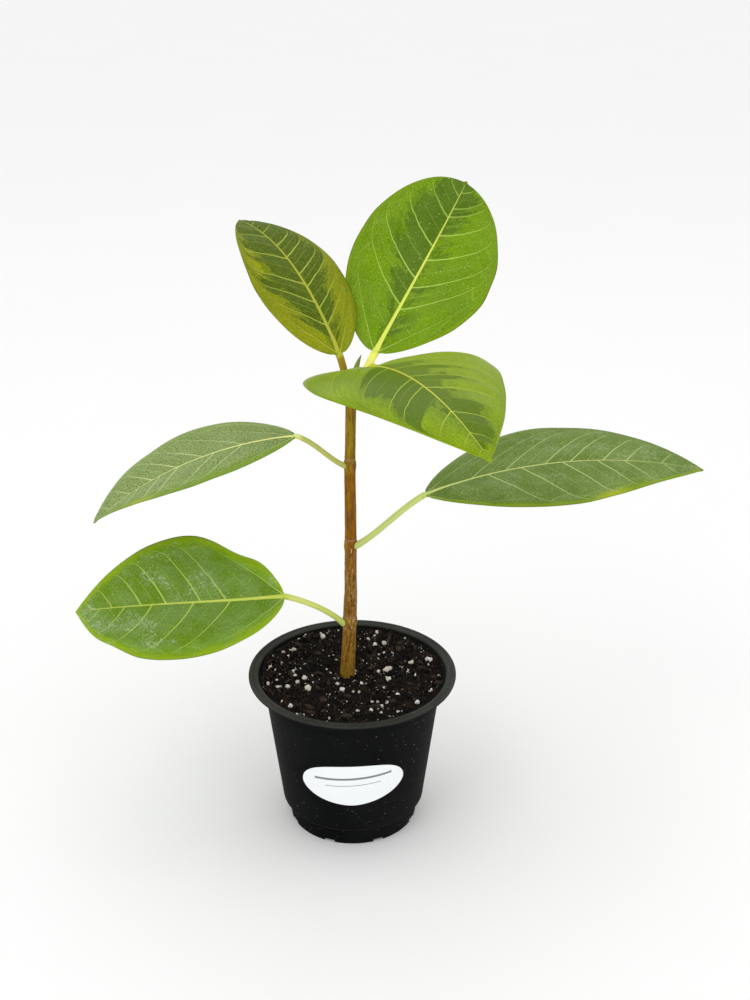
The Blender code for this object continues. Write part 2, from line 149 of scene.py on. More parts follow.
def make_loft(name, rings, material, fields=None):
    """A closed skin over rings of points, with a point in the middle of each end."""
    rows, cols = rings.shape[:2]

    def with_poles(grid):
        flat = grid.reshape(rows * cols, *grid.shape[2:])
        return np.concatenate([flat, grid[0].mean(0)[None], grid[-1].mean(0)[None]])

    ring = np.arange(cols)
    after = (ring + 1) % cols
    pole = np.full(cols, rows * cols)
    last = (rows - 1) * cols
    caps = np.concatenate([np.stack([pole, after, ring], -1),
                           np.stack([pole + 1, last + ring, last + after], -1)])
    fields = {key: with_poles(value) for key, value in (fields or {}).items()}
    return make_piece(name, with_poles(rings), [band(rows, cols), caps], material, fields)


def stand_in(piece, slot, *nodes):
    """Ties a piece to the body and hides the CAD nodes that it replaces; slot is not used."""
    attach(piece, BODY)
    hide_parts(*nodes)


def round_rings(path, radii, sides, first_side, bumps=0.0):
    """Circles square to a path; bumps (rows, sides) add to the radius."""
    along = unit(np.gradient(path, axis=0))
    side = np.broadcast_to(np.asarray(first_side, float), along.shape)
    first = unit(side - along * np.sum(side * along, -1, keepdims=True))
    second = np.cross(along, first)
    angle = full_turn(sides)
    circle = (np.cos(angle)[None, :, None] * first[:, None]
              + np.sin(angle)[None, :, None] * second[:, None])
    return path[:, None] + circle * (np.asarray(radii)[:, None] + bumps)[..., None]


# ---------------------------------------------------------------- shader helpers


def put(tree, kind, inputs=None, **settings):
    """Adds a shader node; each input is a value or a socket to link."""
    made = tree.nodes.new("ShaderNode" + kind)
    for key, value in settings.items():
        setattr(made, key, value)
    for key, value in (inputs or {}).items():
        if isinstance(value, bpy.types.NodeSocket):
            tree.links.new(value, made.inputs[key])
        else:
            made.inputs[key].default_value = value
    return made


def calc(tree, operation, *values):
    """One step of arithmetic on values or sockets."""
    return put(tree, "Math", dict(enumerate(values)), operation=operation).outputs[0]


def times(tree, first, second):
    """first * second."""
    return calc(tree, "MULTIPLY", first, second)


def plus(tree, first, second):
    """first + second."""
    return calc(tree, "ADD", first, second)


def minus(tree, first, second):
    """first - second."""
    return calc(tree, "SUBTRACT", first, second)


def scaled(tree, value, factor, offset):
    """value * factor + offset."""
    return calc(tree, "MULTIPLY_ADD", value, factor, offset)


def larger(tree, first, second):
    """The larger of two values."""
    return calc(tree, "MAXIMUM", first, second)


def unsigned(tree, value):
    """A value without its sign."""
    return calc(tree, "ABSOLUTE", value, 0.0)


def apart(tree, value, middle):
    """How far a value is from a middle, either way."""
    return unsigned(tree, minus(tree, value, middle))


def rise(tree, value, low, high, start=0.0, end=1.0):
    """A smooth step of a value from low to high, as start to end."""
    return put(tree, "MapRange", {0: value, 1: low, 2: high, 3: start, 4: end},
               interpolation_type="SMOOTHSTEP").outputs[0]


def fall(tree, value, low, high):
    """A smooth step of a value from low to high, as 1 down to 0."""
    return rise(tree, value, low, high, 1.0, 0.0)


def rgb(colour):
    """A colour of three numbers with full alpha; a socket stays as it is."""
    return (*colour, 1.0) if isinstance(colour, tuple) else colour


def blend(tree, share, under, over, mode="MIX"):
    """Mixes two colours."""
    return put(tree, "Mix", {0: share, 6: rgb(under), 7: rgb(over)}, data_type="RGBA",
               blend_type=mode).outputs[2]


def cloud(tree, where, scale, detail=2.0, roughness=0.5, distortion=0.0):
    """Noise from 0 to 1 at a place."""
    return put(tree, "TexNoise", {"Vector": where, "Scale": scale, "Detail": detail,
                                  "Roughness": roughness, "Distortion": distortion}
               ).outputs["Fac"]


def cells(tree, where, scale, feature="F1", spread=1.0):
    """A Voronoi node: distances and a random colour for each cell."""
    return put(tree, "TexVoronoi", {"Vector": where, "Scale": scale, "Randomness": spread},
               feature=feature)


def channels(tree, grains):
    """The three random numbers from 0 to 1 that each cell has."""
    return put(tree, "SeparateColor", {0: grains.outputs["Color"]}).outputs


def field(tree, name, kind="Fac"):
    """A number, or a vector, that the mesh holds at each of its points."""
    return put(tree, "Attribute", attribute_name=name).outputs[kind]


def xyz(tree, place):
    """The three parts of a vector."""
    return put(tree, "SeparateXYZ", {0: place}).outputs


def stretched(tree, place, scale, turn=(0.0, 0.0, 0.0)):
    """A place turned and scaled: a pattern is drawn out where the scale is small."""
    return put(tree, "Mapping", {"Vector": place, "Rotation": turn, "Scale": scale}).outputs[0]


def new_group(name, inputs, outputs):
    """An empty shader group with named sockets: {name: default} and {name: kind}."""
    tree = bpy.data.node_groups.new(name, "ShaderNodeTree")
    for key, default in inputs.items():
        if isinstance(default, str):
            tree.interface.new_socket(key, in_out="INPUT", socket_type="NodeSocketVector")
        else:
            kind = "NodeSocketColor" if isinstance(default, tuple) else "NodeSocketFloat"
            socket = tree.interface.new_socket(key, in_out="INPUT", socket_type=kind)
            socket.default_value = rgb(default)
    for key, kind in outputs.items():
        tree.interface.new_socket(key, in_out="OUTPUT", socket_type="NodeSocket" + kind)
    given = tree.nodes.new("NodeGroupInput").outputs
    return tree, given, tree.nodes.new("NodeGroupOutput").inputs


def use_group(tree, group, **inputs):
    """Places a group in a material; socket names are given with _ for a space."""
    made = tree.nodes.new("ShaderNodeGroup")
    made.node_tree = group
    for key, value in inputs.items():
        socket = made.inputs[key.replace("_", " ")]
        if isinstance(value, bpy.types.NodeSocket):
            tree.links.new(value, socket)
        else:
            socket.default_value = rgb(value)
    return made.outputs


def new_material(name, **constants):
    """A material with a Principled shader; constants go straight on its sockets."""
    material = bpy.data.materials.new(name)
    material.use_nodes = True
    tree = material.node_tree
    shader = tree.nodes["Principled BSDF"]
    for key, value in constants.items():
        shader.inputs[key.replace("_", " ")].default_value = value
    return material, tree, shader


def finish_surface(tree, shader, colour=None, roughness=None, height=None, depth=0.0002):
    """Links colour, roughness and a bump of the given depth to the shader."""
    if colour is not None:
        tree.links.new(colour, shader.inputs["Base Color"])
    if roughness is not None:
        tree.links.new(roughness, shader.inputs["Roughness"])
    if height is not None:
        bump = put(tree, "Bump", {"Height": height, "Distance": depth, "Strength": 1.0})
        tree.links.new(bump.outputs["Normal"], shader.inputs["Normal"])


def object_place(tree):
    """The point on the piece, in metres."""
    return put(tree, "TexCoord").outputs["Object"]


# ---------------------------------------------------------------- shared effects


def build_dust_group():
    """Dust: a fine grained film plus sparse pale specks, as masks from 0 to 1.

    The film is fine noise, laid evenly or in soft clouds as Clouds goes from 0 to 1.
    The specks are the middles of small random cells, kept only where the cell's own
    random number is high, and each has its own strength.
    """
    tree, given, made = new_group(
        "dust", {"Place": "vector", "Film": 0.3, "Clouds": 0.5, "Specks": 0.3,
                 "Speck Scale": 700.0, "Film Scale": 60.0, "Grain Scale": 1500.0},
        {"Film Mask": "Float", "Speck Mask": "Float"})
    soft = cloud(tree, given["Place"], given["Film Scale"], 5.0, 0.6)
    fine = cloud(tree, given["Place"], given["Grain Scale"], 3.0, 0.75)
    cover = scaled(tree, given["Clouds"], minus(tree, rise(tree, soft, 0.34, 0.66), 1.0), 1.0)
    film = times(tree, cover, rise(tree, fine, 0.3, 0.7, 0.05, 1.95))
    tree.links.new(times(tree, film, given["Film"]), made["Film Mask"])
    grain = cells(tree, given["Place"], given["Speck Scale"])
    pick = channels(tree, grain)
    kept = calc(tree, "GREATER_THAN", pick[0], minus(tree, 1.0, given["Specks"]))
    reach = scaled(tree, pick[1], 0.2, 0.06)
    dot = calc(tree, "LESS_THAN", grain.outputs["Distance"], reach)
    strong = scaled(tree, pick[2], 0.8, 0.15)
    tree.links.new(times(tree, times(tree, dot, kept), strong), made["Speck Mask"])
    return tree


def build_vein_group():
    """Veins of a leaf, from the fields on its mesh.

    vein_gap, thin_gap and loop_gap are distances in mm to the nearest side vein, to the
    nearest thin vein between two of them, and to the loop that joins them near the
    margin. Each is shaken a little by noise and compared with a width that narrows
    outward. The net is the edges of random cells, long between the side veins.
    """
    tree, given, made = new_group(
        "leaf_veins", {"Vein Width": 0.3, "Thin": 0.6, "Loops": 0.6},
        {"Rib": "Float", "Side Veins": "Float", "Net": "Float", "Cell": "Float"})
    phase, lane, share, vein_gap, thin_gap, loop_gap, rib = (
        field(tree, name)
        for name in ("phase", "lane", "share", "vein_gap", "thin_gap", "loop_gap", "rib"))
    blade = field(tree, "blade", "Vector")
    split = xyz(tree, blade)
    reach = times(tree, split[1], 1000.0)
    share_of_rib = calc(tree, "DIVIDE", unsigned(tree, reach), rib)
    tree.links.new(fall(tree, share_of_rib, 0.7, 1.12), made["Rib"])
    wobble = scaled(tree, cloud(tree, blade, 150.0, 2.0), 1.3, -0.65)
    wobble = times(tree, wobble, rise(tree, lane, 0.05, 0.4))

    def line(gap, width, fade):
        far = unsigned(tree, plus(tree, gap, wobble))
        across = calc(tree, "DIVIDE", far, width)
        return times(tree, fall(tree, across, 0.45, 1.25), fade)

    wide = times(tree, given["Vein Width"], rise(tree, lane, 0.0, 0.95, 1.25, 0.7))
    side = line(vein_gap, wide, fall(tree, lane, 0.93, 0.985))
    fine = times(tree, given["Vein Width"], 0.62)
    thin = line(thin_gap, fine, rise(tree, lane, 0.3, 0.85, 1.0, 0.1))
    loop = line(loop_gap, fine, fall(tree, share, 0.93, 0.98))
    faint = larger(tree, times(tree, thin, given["Thin"]), times(tree, loop, given["Loops"]))
    tree.links.new(larger(tree, side, faint), made["Side Veins"])
    steps = put(tree, "CombineXYZ", {0: times(tree, phase, 7.0),
                                     1: times(tree, reach, 0.24), 2: 0.0}).outputs[0]
    edges = cells(tree, steps, 1.0, "DISTANCE_TO_EDGE", 0.85).outputs["Distance"]
    small = cells(tree, steps, 3.1, "DISTANCE_TO_EDGE", 0.9).outputs["Distance"]
    net = larger(tree, fall(tree, edges, 0.01, 0.07), rise(tree, small, 0.02, 0.16, 0.5, 0.0))
    tree.links.new(net, made["Net"])
    long = put(tree, "CombineXYZ", {0: times(tree, phase, 4.4),
                                    1: times(tree, reach, 0.13), 2: split[2]}).outputs[0]
    tree.links.new(channels(tree, cells(tree, long, 1.0))[0], made["Cell"])
    return tree


# What the mesh says of a point on a leaf: face is 1 on top and -1 underneath.
Where = namedtuple("Where", "blade side_reach face edge patch share")

WARM_YELLOW = (0.42, 0.46, 0.0)
SCRAWL = (0.5, 0.6, 0.42)
PALE_SPECK = (0.64, 0.78, 0.30)


def leaf_ground(tree, given, at, lines):
    """The two greens. The border of the dark centre is frayed by noise and steps from
    cell to cell of the net, with a band of a middle tone outside it. Soft darker clouds
    lie over both, and a fine mottle lightens and darkens the whole.
    """
    fray = minus(tree, cloud(tree, at.blade, 260.0, 3.0, 0.7), 0.5)
    fray = scaled(tree, fray, 0.6, minus(tree, lines["Cell"], 0.5))
    reach = scaled(tree, fray, given["Fray"], at.patch)
    dark = rise(tree, reach, -0.02, 0.025)
    middle = times(tree, rise(tree, reach, -0.17, -0.12), given["Middle"])
    dark = times(tree, larger(tree, dark, middle), given["Patch"])
    base = blend(tree, dark, given["Light"], given["Dark"])
    tint = cloud(tree, at.blade, 38.0, 3.0, 0.55)
    base = blend(tree, rise(tree, tint, 0.35, 0.7, 0.0, 0.3), base, given["Dark"])
    mottle = cloud(tree, at.blade, 950.0, 3.0, 0.75)
    streaky = scaled(tree, lines["Cell"], 0.1, 0.95)
    grey = times(tree, rise(tree, mottle, 0.28, 0.72, 0.68, 1.32), streaky)
    grey = put(tree, "CombineColor", {0: grey, 1: grey, 2: grey}).outputs[0]
    return blend(tree, 1.0, base, grey, "MULTIPLY"), dark, mottle


def leaf_margin(tree, given, at, base):
    """The pale margin: a ragged band, wider on one half by Margin Lean, and a yellow
    stretch two thirds of the way up the wider half. near is the distance to the margin
    as a share of the band.
    """
    ragged = scaled(tree, cloud(tree, at.blade, 85.0, 3.0, 0.6), 4.0, -2.0)
    half = rise(tree, at.side_reach, -2 * MM, 2 * MM, -1.0, 1.0)
    lean = scaled(tree, half, given["Margin Lean"], 1.0)
    width = times(tree, given["Margin Band"], larger(tree, lean, 0.15))
    ragged = times(tree, ragged, times(tree, width, 0.4))
    near = calc(tree, "DIVIDE", plus(tree, at.edge, ragged), width)
    base = blend(tree, rise(tree, near, 0.15, 1.25, 0.85, 0.0), base, given["Margin"])
    off = apart(tree, at.share, 0.66)
    yellow = times(tree, fall(tree, off, 0.0, 0.10), rise(tree, lean, 1.1, 1.4))
    yellow = times(tree, yellow, fall(tree, at.edge, 1.0, 7.0))
    return blend(tree, times(tree, yellow, given["Yellow"]), base, WARM_YELLOW), near


def leaf_film(tree, given, at, shell, near, dark, base):
    """The dust film, thin on the margin, and a painted sheen on the foot of the left half."""
    film = times(tree, shell["Film Mask"], rise(tree, near, 0.6, 1.3, 0.25, 1.0))
    base = blend(tree, film, base, given["Film Tint"])
    # Painted sheen: the tint laid over the foot of the left half, less over the dark centre.
    foot = times(tree, fall(tree, at.share, 0.15, 0.90), given["Foot Film"])
    foot = times(tree, foot, rise(tree, at.side_reach, -6 * MM, 4 * MM, 0.1, 1.0))
    foot = times(tree, foot, scaled(tree, dark, -0.65, 1.0))
    return blend(tree, foot, base, given["Film Tint"]), film


def leaf_lines(tree, given, at, lines, base):
    """The net, the side veins, fainter toward the tip, and a thin hem at the margin."""
    base = blend(tree, times(tree, lines["Net"], given["Net"]), base, given["Vein"])
    side = times(tree, lines["Side Veins"], rise(tree, at.share, 0.6, 0.95, 1.0, 0.5))
    base = blend(tree, times(tree, side, given["Side Vein"]), base, given["Vein"])
    return blend(tree, rise(tree, at.edge, 0.12, 0.5, 0.7, 0.0), base, given["Margin"])


def leaf_marks(tree, given, at, shell, mottle, base):
    """Pale scrawls and specks. A scrawl follows the middle value of a twisted noise,
    in a few soft areas only, and weakens where the mottle is low.
    """
    wander = cloud(tree, at.blade, 300.0, 1.5, 0.5, 1.6)
    ridge = fall(tree, apart(tree, wander, 0.5), 0.010, 0.030)
    area = plus(tree, cloud(tree, at.blade, 52.0, 2.0),
                rise(tree, at.share, 0.45, 0.85, 0.0, 0.07))
    area = rise(tree, area, 0.56, 0.63)
    broken = rise(tree, mottle, 0.32, 0.48, 0.6, 1.0)
    scrawl = times(tree, times(tree, ridge, area), times(tree, broken, given["Marks"]))
    base = blend(tree, scrawl, base, SCRAWL)
    return blend(tree, times(tree, shell["Speck Mask"], 0.75), base, PALE_SPECK)


def leaf_rib_and_stalk(tree, given, at, lines, dark, base):
    """The midrib, the underside and the stalk. The midrib and the stalk have a grain
    along their length. below is 1 on the underside and 0 on top.
    """
    grain = cloud(tree, stretched(tree, at.blade, (60.0, 2600.0, 900.0)), 1.0, 3.0)
    ribbed = blend(tree, rise(tree, grain, 0.3, 0.8, 0.0, 0.25), given["Rib"], given["Vein"])
    ribbed = blend(tree, rise(tree, at.share, 0.55, 1.0, 0.0, 0.7), ribbed, given["Vein"])
    rib = times(tree, lines["Rib"], rise(tree, at.share, 0.88, 1.0, 0.95, 0.4))
    base = blend(tree, rib, base, ribbed)

    below = fall(tree, at.face, -0.2, 0.2)
    under = blend(tree, times(tree, dark, 0.45), given["Under"], given["Dark"])
    under = blend(tree, times(tree, lines["Net"], 0.3), under, given["Vein"])
    under = blend(tree, times(tree, lines["Side Veins"], 0.7), under, given["Vein"])
    under = blend(tree, lines["Rib"], under, given["Rib"])
    base = blend(tree, below, base, under)

    stalk = blend(tree, rise(tree, at.share, -1.0, -0.15), given["Stalk Base"], given["Stalk"])
    stalk = blend(tree, rise(tree, grain, 0.35, 0.8, 0.0, 0.3), stalk, given["Rib"])
    stalk = blend(tree, rise(tree, at.share, -0.15, 0.0), stalk, ribbed)
    return blend(tree, fall(tree, at.share, -0.06, 0.02), base, stalk), below


def build_leaf_group(veins, dust):
    """Leaf skin: ground, margin, dust and painted sheen, veins, marks and stalk, laid over each
    other.

    Outputs the colour, the roughness and a height for the bump. patch is positive
    where the darker centre of the leaf reaches, and edge is the distance to the margin.
    """
    tree, given, made = new_group("leaf_skin", {
        "Light": (0.2, 0.35, 0.01), "Dark": (0.08, 0.16, 0.01), "Vein": (0.5, 0.6, 0.1),
        "Rib": (0.6, 0.7, 0.12), "Margin": (0.35, 0.45, 0.02), "Under": (0.2, 0.3, 0.06),
        "Stalk": (0.4, 0.5, 0.1), "Stalk Base": (0.4, 0.45, 0.1), "Film Tint": (0.6, 0.66, 0.5),
        "Patch": 1.0, "Fray": 0.2, "Middle": 0.4, "Side Vein": 0.6, "Net": 0.15,
        "Margin Band": 3.0, "Margin Lean": 0.0, "Yellow": 0.0, "Vein Width": 0.3, "Thin": 0.6,
        "Loops": 0.6, "Film": 0.0, "Clouds": 0.4, "Foot Film": 0.0, "Grain Scale": 1500.0,
        "Specks": 0.0, "Marks": 0.0, "Gloss": 0.4},
        {"Colour": "Color", "Roughness": "Float", "Height": "Float"})
    blade = field(tree, "blade", "Vector")
    _, side_reach, face = xyz(tree, blade)
    edge, patch, share = (field(tree, name) for name in ("edge", "patch", "share"))
    at = Where(blade, side_reach, face, edge, patch, share)
    lines = use_group(tree, veins, Vein_Width=given["Vein Width"], Thin=given["Thin"],
                      Loops=given["Loops"])
    base, dark, mottle = leaf_ground(tree, given, at, lines)
    base, near = leaf_margin(tree, given, at, base)
    shell = use_group(tree, dust, Place=blade, Film=given["Film"], Clouds=given["Clouds"],
                      Specks=given["Specks"], Speck_Scale=960.0, Film_Scale=62.0,
                      Grain_Scale=given["Grain Scale"])
    base, film = leaf_film(tree, given, at, shell, near, dark, base)
    base = leaf_lines(tree, given, at, lines, base)
    base = leaf_marks(tree, given, at, shell, mottle, base)
    base, below = leaf_rib_and_stalk(tree, given, at, lines, dark, base)
    tree.links.new(base, made["Colour"])

    rough = scaled(tree, film, 0.3, given["Gloss"])
    rough = plus(tree, rough, scaled(tree, mottle, 0.16, -0.08))
    rough = plus(tree, rough, times(tree, below, 0.15))
    tree.links.new(rough, made["Roughness"])
    height = times(tree, mottle, 0.22)
    for bump, amount in ((lines["Side Veins"], -0.5), (lines["Net"], -0.25),
                         (lines["Rib"], 0.4), (shell["Speck Mask"], 0.4)):
        height = scaled(tree, bump, amount, height)
    tree.links.new(height, made["Height"])
    return tree


DUST = build_dust_group()
VEINS = build_vein_group()
LEAF_SKIN = build_leaf_group(VEINS, DUST)

# ---------------------------------------------------------------- stem

STEM_LOW, STEM_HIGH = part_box("stem")
STEM_HEIGHTS = np.array([STEM_LOW.z, 0.082, 0.133, 0.205, 0.240, STEM_HIGH.z])
STEM_X = np.array([-3.3, -2.7, -0.5, -0.5, 0.3, 2.0]) * MM
STEM_Y = np.array([-1.0, -0.5, 1.5, 2.5, 2.6, 3.0]) * MM
STEM_RADII = np.array([4.3, 4.1, 3.2, 2.8, 2.7, 2.2]) * MM
KNUCKLES = (0.1165, 0.1605, 0.2045)


def stem_centre(z):
    """Centre line of the stem at height z."""
    x, y = np.interp(z, STEM_HEIGHTS, STEM_X), np.interp(z, STEM_HEIGHTS, STEM_Y)
    return np.stack([x, y, z], -1)


def stem_radius(z):
    """Radius of the stem: a taper, swollen at each knuckle, with a groove above it."""
    radius = np.interp(z, STEM_HEIGHTS, STEM_RADII)
    for knuckle in KNUCKLES:
        rise_up = (z - knuckle) / (2.6 * MM)
        radius = radius + 0.42 * MM * np.exp(-rise_up ** 2)
        radius = radius - 0.16 * MM * np.exp(-((z - knuckle - 3.4 * MM) / (0.5 * MM)) ** 2)
        radius = radius + 0.10 * MM * np.exp(-((z - knuckle - 4.2 * MM) / (0.5 * MM)) ** 2)
    return radius


BARK_LOW = ((0.13, 0.045, 0.002), (0.36, 0.175, 0.018))
BARK_MIDDLE = ((0.17, 0.056, 0.0), (0.36, 0.155, 0.002))
BARK_HIGH = ((0.18, 0.105, 0.002), (0.38, 0.235, 0.010))
OCHRE = (0.24, 0.20, 0.004)
PLUM = (0.085, 0.030, 0.012)
CORK = (0.56, 0.38, 0.20)
LENTICEL = (0.55, 0.36, 0.16)
LEAF_SCAR = (0.40, 0.21, 0.10)
PALE_DASH = (0.66, 0.48, 0.26)
STEM_FOOT = (0.25, 0.165, 0.008)


def bark_ground(tree, tall, height, streaks):
    """Browns in streaks, one pair for each stretch of the stem, with soft washes."""
    wide = cloud(tree, tall, 300.0, 3.0, 0.6)
    low = blend(tree, rise(tree, streaks, 0.35, 0.66), *BARK_LOW)
    middle = blend(tree, rise(tree, streaks, 0.3, 0.7), *BARK_MIDDLE)
    high = blend(tree, rise(tree, streaks, 0.3, 0.7), *BARK_HIGH)
    colour = blend(tree, rise(tree, height, 0.140, 0.163), low, middle)
    colour = blend(tree, rise(tree, height, 0.197, 0.210), colour, high)
    ochre = times(tree, rise(tree, wide, 0.5, 0.66), rise(tree, height, 0.15, 0.18, 0.25, 0.5))
    colour = blend(tree, ochre, colour, OCHRE)
    plum = times(tree, rise(tree, wide, 0.5, 0.34), 0.55)
    return blend(tree, plum, colour, PLUM)


def bark_marks(tree, turned, tall, height, colour):
    """Cork flakes low down, lenticels in random cells, and marks at each knuckle: a
    brown scar line in the groove above it, a narrow row of pale dashes just above it
    and a taller row below it.
    """
    flakes = rise(tree, cloud(tree, tall, 2300.0, 2.0, 0.6), 0.56, 0.64)
    amount = times(tree, rise(tree, height, 0.108, 0.124, 0.35, 0.9),
                   rise(tree, height, 0.140, 0.168, 1.0, 0.05))
    cork = times(tree, flakes, amount)
    colour = blend(tree, cork, colour, CORK)
    dots = cells(tree, stretched(tree, turned, (1.0, 1.0, 0.6)), 560.0)
    lenticel = fall(tree, dots.outputs["Distance"], 0.08, 0.2)
    kept = calc(tree, "GREATER_THAN", channels(tree, dots)[0], 0.72)
    lenticel = times(tree, lenticel, kept)
    colour = blend(tree, times(tree, lenticel, 0.6), colour, LENTICEL)
    dashes = cells(tree, stretched(tree, turned, (1.0, 1.0, 0.12)), 1150.0)
    dashes = fall(tree, dashes.outputs["Distance"], 0.2, 0.34)
    for knuckle, strength in zip(KNUCKLES, (0.75, 0.95, 0.3)):
        off = apart(tree, height, knuckle + 3.4 * MM)
        colour = blend(tree, rise(tree, off, 0.0001, 0.0010, 0.55, 0.0), colour, LEAF_SCAR)
        for row, reach in ((1.6, 0.8), (-2.6, 1.8)):
            off = apart(tree, height, knuckle + row * MM)
            belt = rise(tree, off, reach * 0.7 * MM, reach * MM, strength, 0.0)
            colour = blend(tree, times(tree, dashes, belt), colour, PALE_DASH)
    foot = rise(tree, height, 0.084, 0.100, 0.6, 0.0)
    return blend(tree, foot, colour, STEM_FOOT), cork, lenticel


def bark_material():
    """Bark: brown with pale cork low down, orange brown above, olive at the young top.

    turned is the place on the stem with its bends taken out, and tall the same place
    drawn out along the stem.
    """
    material, tree, shader = new_material("bark", Specular_IOR_Level=0.12)
    place = object_place(tree)
    turned = field(tree, "turned", "Vector")
    tall = stretched(tree, turned, (1.0, 1.0, 0.16))
    height = xyz(tree, place)[2]
    streaks = cloud(tree, tall, 1250.0, 4.0, 0.65, 0.3)
    colour = bark_ground(tree, tall, height, streaks)
    colour, cork, lenticel = bark_marks(tree, turned, tall, height, colour)
    rough = rise(tree, streaks, 0.2, 0.8, 0.5, 0.78)
    relief = plus(tree, streaks, times(tree, cork, 0.5))
    relief = plus(tree, relief, times(tree, lenticel, 0.5))
    finish_surface(tree, shader, colour, rough, relief, 0.00035)
    return material


def make_stem():
    """The stem: rings up its bent centre line, with long low ridges in the bark.

    Radius = taper + knuckles + ridges, where the ridges are noise stretched along the
    stem and fade out toward the smooth young top.
    """
    rows, sides = 460, 104
    heights = np.linspace(STEM_LOW.z, STEM_HIGH.z, rows)
    angle = full_turn(sides)
    z, turn = np.meshgrid(heights, angle, indexing="ij")
    radius = stem_radius(heights)
    around = np.stack([np.cos(turn), np.sin(turn), z / MM * 0.05], -1)
    old = 1.0 - 0.75 * smooth(z, 0.12, 0.23)
    ridges = layered(around * 4.0, 1.0, 11) * 0.09 * MM * old
    ridges += noise(around, 0.9, 17) * 0.16 * MM
    rings = round_rings(stem_centre(heights), radius, sides, (1.0, 0.0, 0.0), ridges)
    straight = np.stack([np.cos(turn), np.sin(turn), z / MM / 3.0], -1) * 3.0 * MM
    piece = make_loft("woody_stem", rings, bark_material(), {"turned": straight})
    stand_in(piece, "bark", "stem")


# ---------------------------------------------------------------- leaves

Leaf = namedtuple("Leaf", "stem_at lift stalk_radius base length left right heading "
                  "pitch droop curl sweep roll twist fold_base fold_tip cup widest butt tip "
                  "turn wave nib rib left_run right_run left_veins right_veins left_dark "
                  "right_dark dents shine look")

YOUNG = dict(Under=(0.20, 0.31, 0.06), Loops=0.22, Thin=0.34)


def level(*reaches):
    """One reach for each gap between side veins, as two equal halves."""
    return tuple(reach for reach in reaches for _ in range(2))


